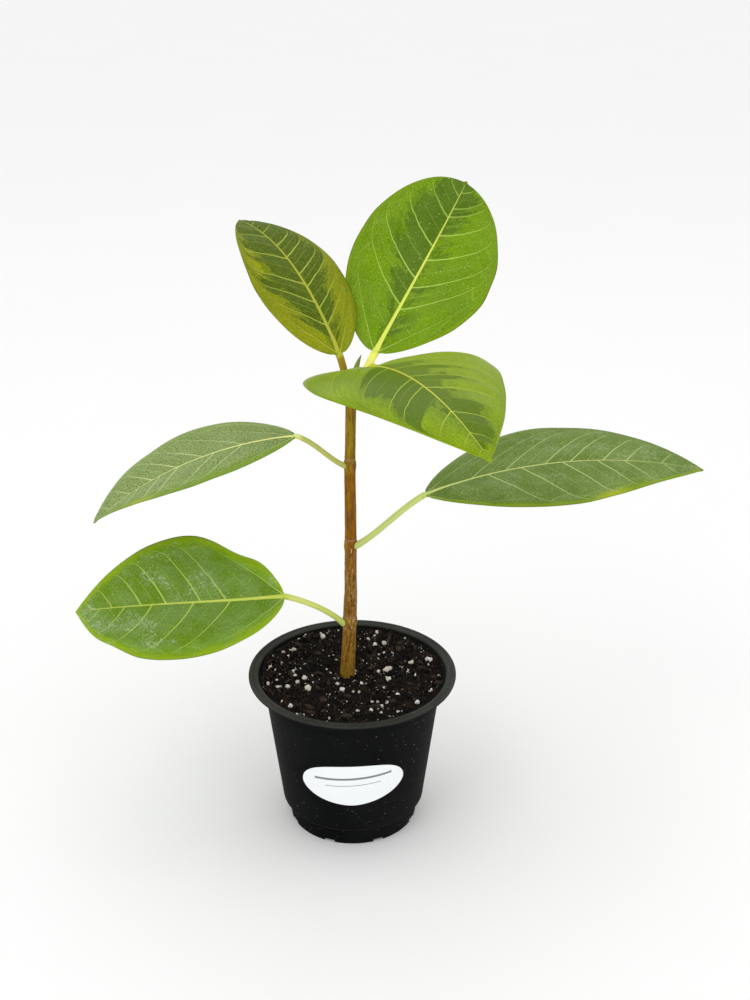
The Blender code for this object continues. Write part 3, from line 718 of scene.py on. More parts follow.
# The shape numbers repeat the CAD leaves: lengths in mm, angles in degrees. A run says
# how steeply a side vein runs forward where it leaves the midrib, how much more it
# does at the margin, how far its end loops forward, and how all that grows toward the
# tip. The vein lists say how far along the midrib each side vein leaves it; the dark
# lists say how far out (1 is the margin) the darker centre reaches in each half gap
# between veins. A dent is a side (1 left, -1 right), a place along, its length and its
# depth; a negative depth is a bulge.
LEAVES = {
    "leaf_top_right": Leaf(
        stem_at=244.0, lift=30, stalk_radius=2.0, base=(11.5, 18.0, 257.4), length=112,
        left=38.0, right=36.5, heading=58, pitch=36, droop=2, curl=-7, sweep=-1, roll=10,
        twist=29, fold_base=5, fold_tip=7, cup=-18, widest=0.51, butt=0.59, tip=0.45, turn=0,
        wave=0.35, nib=0.55, rib=1.1,
        left_run=(0.22, 0.42, 0.20, 0.4), right_run=(0.12, 0.60, 0.20, 0.4),
        left_veins=(0, 0.27, 0.427, 0.615, 0.785, 0.91),
        right_veins=(0, 0.245, 0.373, 0.535, 0.68, 0.79, 0.837, 0.93),
        left_dark=level(0.0, 0.0, 0.3, 0.55, 0.6, 0.75, 0.85),
        right_dark=level(0.0, 0.12, 0.0, 0.0, 0.0, 0.1, 0.3, 0.6, 0.8),
        dents=(),
        shine=0.12,
        look=dict(YOUNG, Light=(0.158, 0.290, 0.0), Dark=(0.058, 0.124, 0.002), Patch=0.95,
                  Middle=0.5, Fray=0.4, Film=0.12, Clouds=0.7, Specks=0.5,
                  Margin=(0.20, 0.34, 0.0), Gloss=0.42, Margin_Band=2.0, Rib=(0.82, 0.88, 0.14),
                  Vein=(0.42, 0.61, 0.10), Side_Vein=0.95, Vein_Width=0.35, Net=0.07,
                  Film_Tint=(0.34, 0.48, 0.12), Stalk=(0.90, 0.88, 0.20),
                  Stalk_Base=(0.80, 0.76, 0.18))),
    "leaf_top_left": Leaf(
        stem_at=248.0, lift=38, stalk_radius=1.8, base=(-5.0, 7.0, 260.2), length=99.5,
        left=28.5, right=28.0, heading=127, pitch=51, droop=15, curl=36, sweep=5, roll=7,
        twist=-6, fold_base=1, fold_tip=10, cup=-15, widest=0.42, butt=0.73, tip=0.73, turn=0,
        wave=0.3, nib=0.5, rib=1.2,
        left_run=(0.32, 0.0, 0.24, 0.2), right_run=(0.35, 0.12, 0.22, 0.2),
        left_veins=(0, 0.16, 0.292, 0.402, 0.574, 0.757, 0.88),
        right_veins=(0, 0.157, 0.254, 0.385, 0.465, 0.585, 0.675, 0.80, 0.9),
        left_dark=(0.0, 0.0, 0.05, 0.4, 0.55, 0.72, 0.88, 0.7, 0.55, 0.72, 0.85, 0.7, 1.2, 1.2,
            1.2, 1.2),
        right_dark=(0.0, 0.0, 0.12, 0.2, 0.35, 0.3, 0.38, 0.42, 0.85, 0.95, 0.9, 0.75, 1.2, 1.2,
            1.2, 1.2, 1.2, 1.2),
        dents=(),
        shine=0.08,
        look=dict(YOUNG, Light=(0.255, 0.282, 0.0), Dark=(0.055, 0.092, 0.001), Fray=0.35,
                  Middle=0.5, Margin=(0.25, 0.28, 0.0), Rib=(0.47, 0.48, 0.05),
                  Vein=(0.40, 0.49, 0.07), Gloss=0.42, Margin_Band=0.8, Net=0.22, Film=0.04,
                  Specks=0.02, Side_Vein=0.95, Film_Tint=(0.34, 0.42, 0.16), Vein_Width=0.33,
                  Stalk=(0.30, 0.19, 0.012), Stalk_Base=(0.20, 0.10, 0.005))),
    "leaf_top_front": Leaf(
        stem_at=240.0, lift=42, stalk_radius=2.0, base=(10.6, -19.0, 263.3), length=122.2,
        left=39.5, right=43.0, heading=-68, pitch=19, droop=38, curl=2, sweep=3, roll=4,
        twist=-9, fold_base=12, fold_tip=2, cup=-13, widest=0.38, butt=0.58, tip=0.89, turn=0,
        wave=0.4, nib=0.5, rib=0.9,
        left_run=(0.15, 0.50, 0.20, 0.2), right_run=(0.70, 0.32, 0.22, 0.3),
        left_veins=(0, 0.18, 0.345, 0.49, 0.70, 0.84, 0.93),
        right_veins=(0, 0.16, 0.378, 0.475, 0.697, 0.84, 0.93),
        left_dark=(0.0, 0.0, 0.1, 0.3, 0.6, 0.35, 0.52, 0.2, 0.25, 0.58, 0.66, 0.76, 0.7, 0.3,
            0.0, 0.0),
        right_dark=(0.0, 0.0, 0.0, 0.6, 0.62, 0.58, 0.66, 0.74, 0.9, 0.15, 0.0, 0.0, 0.0, 0.0,
            0.0, 0.0),
        dents=((-1, 0.32, 0.24, -0.12),),
        shine=0.16,
        look=dict(YOUNG, Light=(0.212, 0.330, 0.0), Dark=(0.086, 0.154, 0.002), Fray=0.22,
                  Middle=0.35, Rib=(0.60, 0.62, 0.07), Vein=(0.44, 0.57, 0.06),
                  Margin=(0.32, 0.46, 0.0), Gloss=0.34, Side_Vein=0.95, Net=0.04,
                  # This leaf has a painted sheen on the foot of its left half.
                  Margin_Band=0.8, Film=0.02, Foot_Film=0.5, Specks=0.0,
                  Film_Tint=(0.33, 0.44, 0.05), Vein_Width=0.30, Stalk=(0.30, 0.41, 0.03),
                  Stalk_Base=(0.30, 0.38, 0.04))),
    "leaf_middle_left": Leaf(
        stem_at=205.0, lift=28, stalk_radius=1.3, base=(-26.7, 5.0, 219.0), length=121,
        left=35.0, right=34.5, heading=172, pitch=-9, droop=35, curl=-1, sweep=6, roll=-5,
        twist=1, fold_base=-1, fold_tip=18, cup=-8, widest=0.48, butt=0.74, tip=0.65, turn=40,
        wave=0.5, nib=0.3, rib=0.8,
        left_run=(0.35, 0.0, 0.12, -0.5), right_run=(1.15, 0.1, 0.05, -0.45),
        left_veins=(0, 0.235, 0.36, 0.53, 0.62, 0.74, 0.86),
        right_veins=(0, 0.22, 0.41, 0.535, 0.66, 0.78, 0.9),
        left_dark=level(0.5, 0.55, 0.6, 0.65, 0.65, 0.7, 0.8, 0.9),
        right_dark=level(0.7, 0.8, 0.8, 0.8, 0.8, 0.8, 0.75, 0.7),
        dents=(),
        shine=0.12,
        look=dict(YOUNG, Light=(0.128, 0.222, 0.004), Dark=(0.082, 0.142, 0.009), Film=0.46,
                  Clouds=0.25, Specks=0.35, Vein=(0.58, 0.68, 0.30), Rib=(0.92, 0.95, 0.34),
                  Margin=(0.19, 0.33, 0.0), Gloss=0.5, Side_Vein=0.9, Net=0.1, Margin_Band=3.6,
                  Margin_Lean=0.9, Yellow=0.7, Grain_Scale=950.0, Marks=0.2, Vein_Width=0.38,
                  Film_Tint=(0.44, 0.56, 0.23), Stalk=(0.46, 0.48, 0.12),
                  Stalk_Base=(0.43, 0.44, 0.10))),
    "leaf_middle_right": Leaf(
        stem_at=160.5, lift=36, stalk_radius=1.6, base=(36.5, 10.0, 184.0), length=146,
        left=38.5, right=38.5, heading=17, pitch=15, droop=19, curl=4, sweep=-28, roll=7,
        twist=1, fold_base=6, fold_tip=7, cup=-16, widest=0.48, butt=0.79, tip=0.89, turn=-40,
        wave=0.5, nib=0.3, rib=0.75,
        left_run=(0.95, 0.08, 0.12, -0.6), right_run=(0.0, 0.12, 0.10, 1.0),
        left_veins=(0, 0.175, 0.30, 0.443, 0.533, 0.647, 0.728, 0.85),
        right_veins=(0, 0.238, 0.358, 0.505, 0.626, 0.722, 0.86),
        left_dark=level(0.9, 1.1, 1.1, 1.1, 1.1, 1.1, 1.1, 1.1, 1.1),
        right_dark=level(0.9, 1.0, 1.0, 0.95, 0.8, 0.7, 0.85, 1.0),
        dents=(),
        shine=0.12,
        look=dict(YOUNG, Light=(0.142, 0.245, 0.0), Dark=(0.078, 0.152, 0.003), Film=0.28,
                  Clouds=0.6, Specks=0.6, Margin_Lean=-0.6, Yellow=0.9, Grain_Scale=1050.0,
                  Vein=(0.46, 0.58, 0.20), Rib=(0.70, 0.77, 0.26), Margin=(0.23, 0.35, 0.0),
                  Gloss=0.46, Side_Vein=0.95, Net=0.07, Margin_Band=2.0, Marks=0.35,
                  Vein_Width=0.35, Film_Tint=(0.44, 0.53, 0.24), Stalk=(0.60, 0.69, 0.22),
                  Stalk_Base=(0.54, 0.63, 0.18))),
    "leaf_lower_left": Leaf(
        stem_at=117.0, lift=50, stalk_radius=1.5, base=(-33.8, -4.0, 133.8), length=108,
        left=35.0, right=35.0, heading=188, pitch=-2, droop=-8, curl=15, sweep=-9, roll=-34,
        twist=0, fold_base=13, fold_tip=11, cup=-3, widest=0.5, butt=0.6, tip=0.86, turn=20,
        wave=0.7, nib=0.2, rib=1.05,
        left_run=(0.10, 0.42, 0.20, 0.4), right_run=(0.14, 0.27, 0.20, 0.4),
        left_veins=(0, 0.26, 0.433, 0.63, 0.76, 0.88),
        right_veins=(0, 0.28, 0.40, 0.563, 0.682, 0.82, 0.92),
        left_dark=level(0.5, 0.7, 0.75, 0.8, 0.85, 0.8, 0.6),
        right_dark=level(0.4, 0.75, 0.8, 0.75, 0.75, 0.8, 0.6, 0.5),
        dents=((-1, 0.21, 0.09, 0.04), (-1, 0.08, 0.07, -0.10), (-1, 0.42, 0.13, -0.05),
            (1, 0.93, 0.10, -0.36), (1, 0.72, 0.13, -0.09)),
        shine=0.15,
        look=dict(YOUNG, Light=(0.180, 0.335, 0.0), Dark=(0.110, 0.218, 0.002), Film=0.20,
                  Clouds=0.85, Specks=0.4, Vein=(0.46, 0.62, 0.12), Rib=(0.66, 0.75, 0.13),
                  Margin=(0.29, 0.45, 0.0), Gloss=0.42, Side_Vein=0.95, Net=0.1,
                  Margin_Band=4.8, Marks=0.75, Patch=0.85, Vein_Width=0.34,
                  Film_Tint=(0.42, 0.54, 0.34), Stalk=(0.70, 0.75, 0.22),
                  Stalk_Base=(0.52, 0.60, 0.14))),
}

STALK_ROWS = 60
BLADE_ROWS = 250
HALF_SECTION = 88
BLADE_THICKNESS = 0.55
ARRIVAL_BEND = 0.4
SECTION_TURN = np.concatenate([np.linspace(0, math.pi, HALF_SECTION),
                               np.linspace(math.pi, 2 * math.pi, HALF_SECTION)[1:-1]])


def midrib(leaf):
    """Points and frames along the midrib.

    Pitch falls by droop*s + curl*s^2 and heading turns by sweep*s, where s runs from 0
    to 1; the points add up the directions. across and above are turned about the
    direction by roll + twist*s.
    """
    rest = (1 - np.cos(np.linspace(0, math.pi, BLADE_ROWS))) / 2
    s = 0.55 * rest + 0.45 * np.linspace(0, 1, BLADE_ROWS)
    fine = np.linspace(0.0, 1.0, 2001)

    def directions(at):
        pitch = np.radians(leaf.pitch - leaf.droop * at - leaf.curl * at ** 2)
        heading = np.radians(leaf.heading + leaf.sweep * at)
        along = np.stack([np.cos(heading) * np.cos(pitch), np.sin(heading) * np.cos(pitch),
                          np.sin(pitch)], -1)
        return along, np.stack([-np.sin(heading), np.cos(heading), np.zeros_like(at)], -1)

    along, _ = directions(fine)
    steps = (along[1:] + along[:-1]) / 2 * (leaf.length / (len(fine) - 1))
    run = np.concatenate([np.zeros((1, 3)), np.cumsum(steps, 0)])
    points = np.stack([np.interp(s, fine, run[:, axis]) for axis in range(3)], -1)
    along, side = directions(s)
    up = np.cross(along, side)
    turn = np.radians(leaf.roll + leaf.twist * s)[:, None]
    return (s, np.asarray(leaf.base) + points, along,
            side * np.cos(turn) + up * np.sin(turn), up * np.cos(turn) - side * np.sin(turn))


def outline(leaf, s, lane):
    """Half width from 0 to 1: a sine hump moved to its widest place, with a short nib.

    Each dent takes a soft bite out of its own side of the margin.
    """
    body = np.clip(s / (1 - 0.02 * leaf.nib), 0, 1)
    shifted = body ** (math.log(0.5) / math.log(leaf.widest))
    hump = np.clip(np.sin(math.pi * shifted), 0, 1)
    hump = np.where(shifted < 0.5, hump ** leaf.butt, hump ** leaf.tip)
    nib = 0.16 * leaf.nib * np.sqrt(np.clip((1 - s) / 0.07, 0, 1)) * (s > 0.5)
    width = np.maximum(hump, np.minimum(nib, 0.3)) + 0 * lane
    for side, place, long, depth in leaf.dents:
        width = width * (1 - depth * np.exp(-((s - place) / long) ** 2) * (lane * side > 0))
    return width


def vein_fields(leaf, s, lane, reach):
    """Which vein is near a place on the blade, and how far away it is in mm.

    A vein that leaves the midrib at its listed place runs forward by
    out * (leave + grow*place + bend*lane) as it goes out, more steeply from the foot of
    the blade, then turns forward into a loop near the margin. The place it left is found
    by closing in on it step by step. Its place in the list, with fractions between, is
    the phase; the nearest whole number is a vein and the nearest half a thin one. The
    loops join each vein to the next one near the margin.
    """
    sides = []
    for run, stations, wide in ((leaf.right_run, leaf.right_veins, leaf.right),
                                (leaf.left_run, leaf.left_veins, leaf.left)):
        leave, bend, turn, grow = run
        out, far = np.abs(reach) / leaf.length, np.abs(lane)
        back = s + 0 * out
        for _ in range(16):
            steep = leave + grow * back + bend * far + 0.8 * np.exp(-np.clip(back, 0, 1) / 0.25)
            back = back - 0.6 * (back + out * steep + turn * far ** 14 - s)
        places = np.array([stations[0] - 0.17, *stations, stations[-1] + 0.12])
        index = np.arange(len(places)) - 1.0
        phase = np.interp(back, places, index)
        whole = np.interp(np.round(phase), index, places)
        middle = (np.interp(np.floor(phase), index, places) / 2
                  + np.interp(np.ceil(phase), index, places) / 2)
        gaps = [(back - place) * leaf.length * 0.82 for place in (whole, middle)]
        loop = (far - 0.90 + 0.12 * (phase - np.floor(phase))) * np.maximum(wide * 0.9, 1)
        sides.append((phase, *gaps, loop))
    right, left = sides
    pick = [np.where(reach > 0, one, other) for one, other in zip(left, right)]
    pick[0] = right[0] + (left[0] - right[0]) * smooth(reach, -0.25, 0.25)
    return pick, left[0], right[0]


def dark_reach(phase, extents):
    """How far out the dark centre reaches: level in each half gap, stepping between."""
    index = np.arange(len(extents)) / 2 - 1.0
    places = np.stack([index + 0.03, index + 0.47], -1).ravel()
    return np.interp(phase, places, np.repeat(extents, 2))


def leaf_blade(leaf):
    """Rings round the blade and the fields that its material reads.

    Each ring goes over the top from left to right and back below. Across the blade,
    angle = fold + cup*lane/2 bends the half width; the lamina swells between veins,
    the veins are sunk above and stand out below, the midrib stands out below most,
    and the thickness closes to nothing at the margin.
    """
    s, points, along, across, above = midrib(leaf)
    u = np.linspace(1, -1, HALF_SECTION)
    over = np.sign(u) * np.abs(u) ** 1.3
    lane = np.concatenate([over, over[-2:0:-1]])[None, :]
    upper = np.concatenate([np.ones(HALF_SECTION), -np.ones(HALF_SECTION - 2)])[None, :]
    upper = np.where(np.abs(lane) > 0.9999, 0.0, upper)
    share = s[:, None]
    seed = int(leaf.length)
    along_side = np.stack([share * 9 + 0 * lane, np.sign(lane) * 3 + 0 * share,
                           0 * share + 0 * lane], -1)
    wobble = 1 + 0.012 * noise(along_side, 1, seed)
    width = np.where(lane > 0, leaf.left, leaf.right) * outline(leaf, share, lane) * wobble
    slim = leaf.rib * (0.2 + 0.8 * (1 - share) ** 1.2)
    rib = slim + (leaf.stalk_radius - leaf.rib) * np.exp(-share / 0.05) + 0.0 * lane
    flat = smooth(width, rib, rib * 3.2)
    fold = np.radians(leaf.fold_base * (1 - share) + leaf.fold_tip * share)
    bend = math.radians(leaf.cup) * np.abs(lane) / 2
    out = width * np.abs(lane) * np.sinc(bend / math.pi)
    x = np.sign(lane) * out * np.cos(fold + bend)
    z = out * np.sin(fold + bend)
    reach = width * lane
    (phase, vein_gap, thin_gap, loop_gap), left, right = vein_fields(leaf, share, lane, reach)
    fade = smooth(np.abs(lane), 0.02, 0.12) * (1 - smooth(np.abs(lane), 0.8, 0.97))
    groove = np.exp(-(vein_gap / 0.8) ** 2) * fade
    swell = -np.cos(2 * math.pi * phase) * fade * 0.2
    ruffle = (leaf.wave * np.abs(lane) ** 3 * noise(along_side * 0.8, 1, seed + 5)
              * smooth(share, 0, 0.15))
    blunt = np.sqrt(np.clip(1 - np.abs(lane) ** 14, 0, 1))
    hump = np.exp(-(reach / (rib * 0.95)) ** 2)
    below = np.maximum(leaf.stalk_radius * 0.75 * (1 - share) ** 0.8, rib)
    top = BLADE_THICKNESS / 2 + hump * rib * 0.28 - groove * 0.12
    low = BLADE_THICKNESS / 2 + np.exp(-(reach / below) ** 2) * below * 1.05 + groove * 0.2
    lens = np.where(upper > 0, top, -low) * blunt * np.abs(upper)
    turn = SECTION_TURN[None, :]
    x = x * flat + np.cos(turn) * rib * (1 - flat)
    z = (z + lens + swell + ruffle) * flat + np.sin(turn) * rib * (1 - flat)
    rings = points[:, None] + across[:, None] * x[..., None] + above[:, None] * z[..., None]
    extent = np.where(lane > 0, dark_reach(left, leaf.left_dark),
                      dark_reach(right, leaf.right_dark))
    grid = np.ones_like(x)
    fields = {
        "blade": np.stack([share * leaf.length * grid, reach, upper * grid * 1000], -1) * MM,
        "phase": phase, "lane": np.abs(lane) * grid, "share": share * grid,
        "edge": (1 - np.abs(lane)) * width, "patch": extent - np.abs(lane), "rib": rib,
        "vein_gap": vein_gap, "thin_gap": thin_gap, "loop_gap": loop_gap}
    return rings, fields, along[0], across[0]


def leaf_stalk(leaf, along, across):
    """Rings along the stalk, from inside the stem's bark to the foot of the blade.

    A cubic curve leaves the stem at the leaf's lift and arrives partly along the
    midrib. The radius flares onto the stem and has a shallow channel along the top.
    """
    core = stem_centre(leaf.stem_at * MM) / MM
    base = np.asarray(leaf.base)
    away = unit(np.array([base[0] - core[0], base[1] - core[1], 0.0]))
    side = math.radians(leaf.turn)
    away = away * math.cos(side) + np.array([-away[1], away[0], 0.0]) * math.sin(side)
    lift = math.radians(leaf.lift)
    leaving = away * math.cos(lift) + np.array([0, 0, math.sin(lift)])
    surface = float(stem_radius(leaf.stem_at * MM)) / MM
    start = core + away * surface - leaving * 1.6
    chord = base - start
    pull = np.linalg.norm(chord) * 0.36
    arriving = unit(unit(chord) * (1 - ARRIVAL_BEND) + along * ARRIVAL_BEND)
    path = bezier((start, start + leaving * pull, base - arriving * pull, base), STALK_ROWS)
    u = np.linspace(0, 1, STALK_ROWS)[:, None]
    turn = SECTION_TURN
    flare = 0.16 * np.exp(-(u / 0.10) ** 2) + 0.06 * np.exp(-((1 - u) / 0.1) ** 2)
    channel = -0.10 * np.exp(-((turn - math.pi / 2) / 0.45) ** 2) * smooth(u, 0.1, 0.5)
    radius = leaf.stalk_radius * (1 + flare + channel)
    forward = unit(np.gradient(path, axis=0))
    first = unit(across - forward * np.sum(across * forward, -1, keepdims=True))
    second = np.cross(forward, first)
    rings = path[:, None] + radius[..., None] * (
        np.cos(turn)[None, :, None] * first[:, None]
        + np.sin(turn)[None, :, None] * second[:, None])
    length = np.linalg.norm(np.diff(path, axis=0), axis=1).sum()
    grid = np.ones((STALK_ROWS, len(turn)))
    fields = {
        "blade": np.stack([(u - 1) * length * grid, np.cos(turn) * leaf.stalk_radius * grid,
                           np.sin(turn) * 1000 * grid], -1) * MM,
        "phase": 0.5 * grid, "lane": 0 * grid, "share": (u - 1) * grid, "edge": 20 * grid,
        "patch": -1 * grid, "rib": leaf.stalk_radius * grid, "vein_gap": 9 * grid,
        "thin_gap": 9 * grid, "loop_gap": 9 * grid}
    return rings, fields


def leaf_material(name, leaf):
    """The leaf skin with this leaf's colours and wear."""
    material, tree, shader = new_material(name, Specular_IOR_Level=leaf.shine, IOR=1.45,
                                          Specular_Tint=(0.8, 1.0, 0.15, 1.0))
    skin = use_group(tree, LEAF_SKIN, **leaf.look)
    finish_surface(tree, shader, skin["Colour"], skin["Roughness"], skin["Height"], 0.00018)
    return material


def make_leaf(node, leaf):
    """One leaf: its stalk and blade as a single closed skin, set on its CAD solid's box."""
    blade, blade_fields, along, across = leaf_blade(leaf)
    stalk, stalk_fields = leaf_stalk(leaf, along, across)
    rings = np.concatenate([stalk[:-1], blade]) * MM
    fields = {key: np.concatenate([stalk_fields[key][:-1], blade_fields[key]])
              for key in blade_fields}
    low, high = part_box(node)
    fit = (np.array(low) + np.array(high)) / 2 - (rings.min((0, 1)) + rings.max((0, 1))) / 2
    rings += np.clip(fit, -0.5 * MM, 0.5 * MM)
    piece = make_loft(node.replace("leaf", "leaf_and_stalk"), rings,
                      leaf_material(node, leaf), fields)
    stand_in(piece, "young_leaf" if "middle" not in node else "old_leaf", node)


# ---------------------------------------------------------------- bud


def make_bud():
    """The top bud: rings of a slim bent cone, with a seam that winds round it."""
    low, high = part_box("terminal_bud")
    rows, sides = 70, 48
    share = np.linspace(0, 1, rows)
    start = np.array([2.2, 3.0, low.z / MM - 0.8]) * MM
    tip = np.array([high.x, 3.0 * MM, high.z])
    path = start + (tip - start) * share[:, None]
    path[:, 0] -= 0.5 * MM * np.sin(share * math.pi)
    turn = full_turn(sides)
    off = turn[None, :] - 4.2 - 1.6 * share[:, None]
    seam = np.exp(-(((off + math.pi) % (2 * math.pi) - math.pi) / 0.22) ** 2)
    radius = (1.45 * MM * np.cos(share * math.pi / 2) ** 0.75
              * (0.82 + 0.25 * np.sin(math.pi * share)))
    rings = round_rings(path, radius, sides, (1.0, 0.0, 0.0),
                        seam * 0.16 * MM * (1 - share[:, None]))
    material, tree, shader = new_material("bud_sheath")
    place = object_place(tree)
    tall = stretched(tree, place, (1.0, 1.0, 0.2))
    streak = cloud(tree, tall, 1800.0, 3.0)
    height = xyz(tree, place)[2]
    colour = blend(tree, rise(tree, streak, 0.3, 0.7), (0.12, 0.165, 0.008), (0.23, 0.28, 0.016))
    dull = rise(tree, height, high.z - 4 * MM, high.z, 0.0, 0.7)
    colour = blend(tree, dull, colour, (0.09, 0.1, 0.02))
    finish_surface(tree, shader, colour, rise(tree, streak, 0.2, 0.8, 0.32, 0.48), streak, 0.0001)
    stand_in(make_loft("bud_sheath", rings, material), "bud", "terminal_bud")


# ---------------------------------------------------------------- pot

POT_LOW, POT_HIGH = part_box("pot")
POT_HEIGHT = POT_HIGH.z / MM
RIM_RADIUS = (POT_HIGH.x - POT_LOW.x) / 2 / MM
WALL = 1.0
FOOT_RADIUS = RIM_RADIUS - 20.8
NECK_RADIUS = RIM_RADIUS - 8.7
NECK_HEIGHT = POT_HEIGHT - 11.0
FLARE = 4.6
FLARE_POWER = 2.4
FOOT_TOP = 8.5
SHOULDER_HEIGHT = 12.0
SHOULDER_RADIUS = 38.2
FLOOR_BOTTOM = 2.2
FLOOR_TOP = 3.2
BOSS_RADIUS = 8.0


def wall_radius(z):
    """Outer radius of the pot's wall at height z (mm), without its small mould marks."""
    straight = np.interp(z, (0.0, FOOT_TOP, SHOULDER_HEIGHT, NECK_HEIGHT),
                         (FOOT_RADIUS, FOOT_RADIUS + 0.4, SHOULDER_RADIUS, NECK_RADIUS))
    up = np.clip((z - NECK_HEIGHT) / (POT_HEIGHT - 1.0 - NECK_HEIGHT), 0, 1)
    return straight + FLARE * up ** FLARE_POWER


def rounded(points, radius, steps=5):
    """A profile whose corners are replaced by short curves of about the given radius."""
    points = np.asarray(points, float)
    result = [points[0]]
    for before, corner, after in zip(points[:-2], points[1:-1], points[2:]):
        reach_in = min(radius, np.linalg.norm(corner - before) * 0.45)
        reach_out = min(radius, np.linalg.norm(after - corner) * 0.45)
        first = corner + (before - corner) / np.linalg.norm(before - corner) * reach_in
        last = corner + (after - corner) / np.linalg.norm(after - corner) * reach_out
        for t in np.linspace(0, 1, steps):
            result.append((1 - t) ** 2 * first + 2 * t * (1 - t) * corner + t * t * last)
    result.append(points[-1])
    return np.array(result)


def dense(profile, step):
    """The same profile with extra points so that no stretch is longer than step."""
    parts = []
    for start, end in zip(profile[:-1], profile[1:]):
        count = max(1, int(np.ceil(np.linalg.norm(end - start) / step)))
        parts.append(start + (end - start) * np.arange(count)[:, None] / count)
    parts.append(profile[-1:])
    return np.concatenate(parts)


def pot_profile():
    """Section of the pot as (radius, height) in mm, from the middle underneath, up the
    outside, over the rolled rim and down the inside to the middle of the floor."""
    under = POT_HEIGHT - 1.0
    flare = np.linspace(NECK_HEIGHT, under, 14)
    outside = [(wall_radius(z), z) for z in (FOOT_TOP, SHOULDER_HEIGHT, *flare)]
    lip = RIM_RADIUS - 1.1
    rim = [(lip, under), (lip + 0.15, POT_HEIGHT - 1.7), (RIM_RADIUS - 0.15, POT_HEIGHT - 1.7),
           (RIM_RADIUS, POT_HEIGHT - 0.9), (RIM_RADIUS - 0.35, POT_HEIGHT),
           (RIM_RADIUS - 1.5, POT_HEIGHT - 0.05), (RIM_RADIUS - 2.0, POT_HEIGHT - 0.5),
           (RIM_RADIUS - 2.7, POT_HEIGHT - 0.5), (RIM_RADIUS - 3.2, POT_HEIGHT - 0.1)]
    throat = wall_radius(under) - WALL
    inside = [(throat + 1.4, POT_HEIGHT - 0.05), (throat + 0.4, POT_HEIGHT - 0.25)]
    inside += [(wall_radius(z) - WALL, z) for z in (*flare[-2::-1], SHOULDER_HEIGHT + 0.5)]
    inside += [(FOOT_RADIUS - 0.6, FOOT_TOP + 0.9), (FOOT_RADIUS - 0.8, FLOOR_TOP),
               (0.0, FLOOR_TOP)]
    foot = [(0.0, 0.0), (BOSS_RADIUS, 0.0), (BOSS_RADIUS, FLOOR_BOTTOM),
            (FOOT_RADIUS - 1.2, FLOOR_BOTTOM), (FOOT_RADIUS - 1.1, 0.0), (FOOT_RADIUS, 0.0)]
    return dense(rounded(foot + outside + rim + inside, 0.45), 1.6)


def plastic_material():
    """Satin black plastic with a fine grain, dust on the rim and the shoulder of the
    foot, a little on the right half, and pale specks. The top of the rim also has a grey
    band of painted sheen mixed with dust, darker at the front as painted shade.
    """
    material, tree, shader = new_material("black_plastic", Specular_IOR_Level=0.03, IOR=1.5)
    place = object_place(tree)
    shell = use_group(tree, DUST, Place=place, Film=0.5, Specks=0.14, Speck_Scale=860.0,
                      Film_Scale=45.0)
    grain = cloud(tree, place, 2600.0, 2.0, 0.6)
    wide = cloud(tree, place, 28.0, 3.0)
    split = xyz(tree, place)
    edge_up = rise(tree, split[2], (POT_HEIGHT - 1.4) * MM, (POT_HEIGHT - 0.3) * MM)
    shoulder = rise(tree, apart(tree, split[2], 0.0105),
                    0.0004, 0.0025, 0.35, 0.0)
    right = rise(tree, split[0], -0.02, 0.045, 0.25, 1.0)
    # The grey rim band: painted sheen mixed with dust, varied by noise and fading toward the
    # front as painted shade.
    rim_sheen_and_front_shade = times(tree, rise(tree, wide, 0.3, 0.6, 0.7, 1.0),
                    rise(tree, split[1], -0.053, -0.028, 0.45, 1.0))
    settled = larger(tree, edge_up, larger(tree, shoulder, times(tree, right, 0.22)))
    film = times(tree, shell["Film Mask"], settled)
    colour = blend(tree, rise(tree, wide, 0.3, 0.7),
                   (0.0020, 0.0026, 0.0026), (0.0040, 0.0048, 0.0048))
    colour = blend(tree, times(tree, edge_up, rim_sheen_and_front_shade), colour, (0.051, 0.052, 0.048))
    colour = blend(tree, times(tree, film, 0.35), colour, (0.12, 0.115, 0.10))
    lower = rise(tree, split[2], 0.010, 0.045, 1.0, 0.35)
    speck = times(tree, shell["Speck Mask"], larger(tree, right, lower))
    colour = blend(tree, speck, colour, (0.34, 0.33, 0.29))
    rough = rise(tree, grain, 0.2, 0.8, 0.5, 0.66)
    rough = plus(tree, rough, times(tree, film, 0.3))
    relief = plus(tree, times(tree, grain, 0.35), times(tree, wide, 1.2))
    finish_surface(tree, shader, colour, rough, relief, 0.00012)
    return material


def cut(piece, cutters):
    """Cuts closed shapes out of a piece with an exact Boolean, and keeps the result."""
    guide = make_piece("guide", *cutters, piece.data.materials[0])
    modifier = piece.modifiers.new("cut", "BOOLEAN")
    modifier.operation, modifier.solver, modifier.object = "DIFFERENCE", "EXACT", guide
    graph = bpy.context.evaluated_depsgraph_get()
    mesh = bpy.data.meshes.new_from_object(piece.evaluated_get(graph))
    piece.modifiers.clear()
    piece.data = mesh
    bpy.data.objects.remove(guide, do_unlink=True)


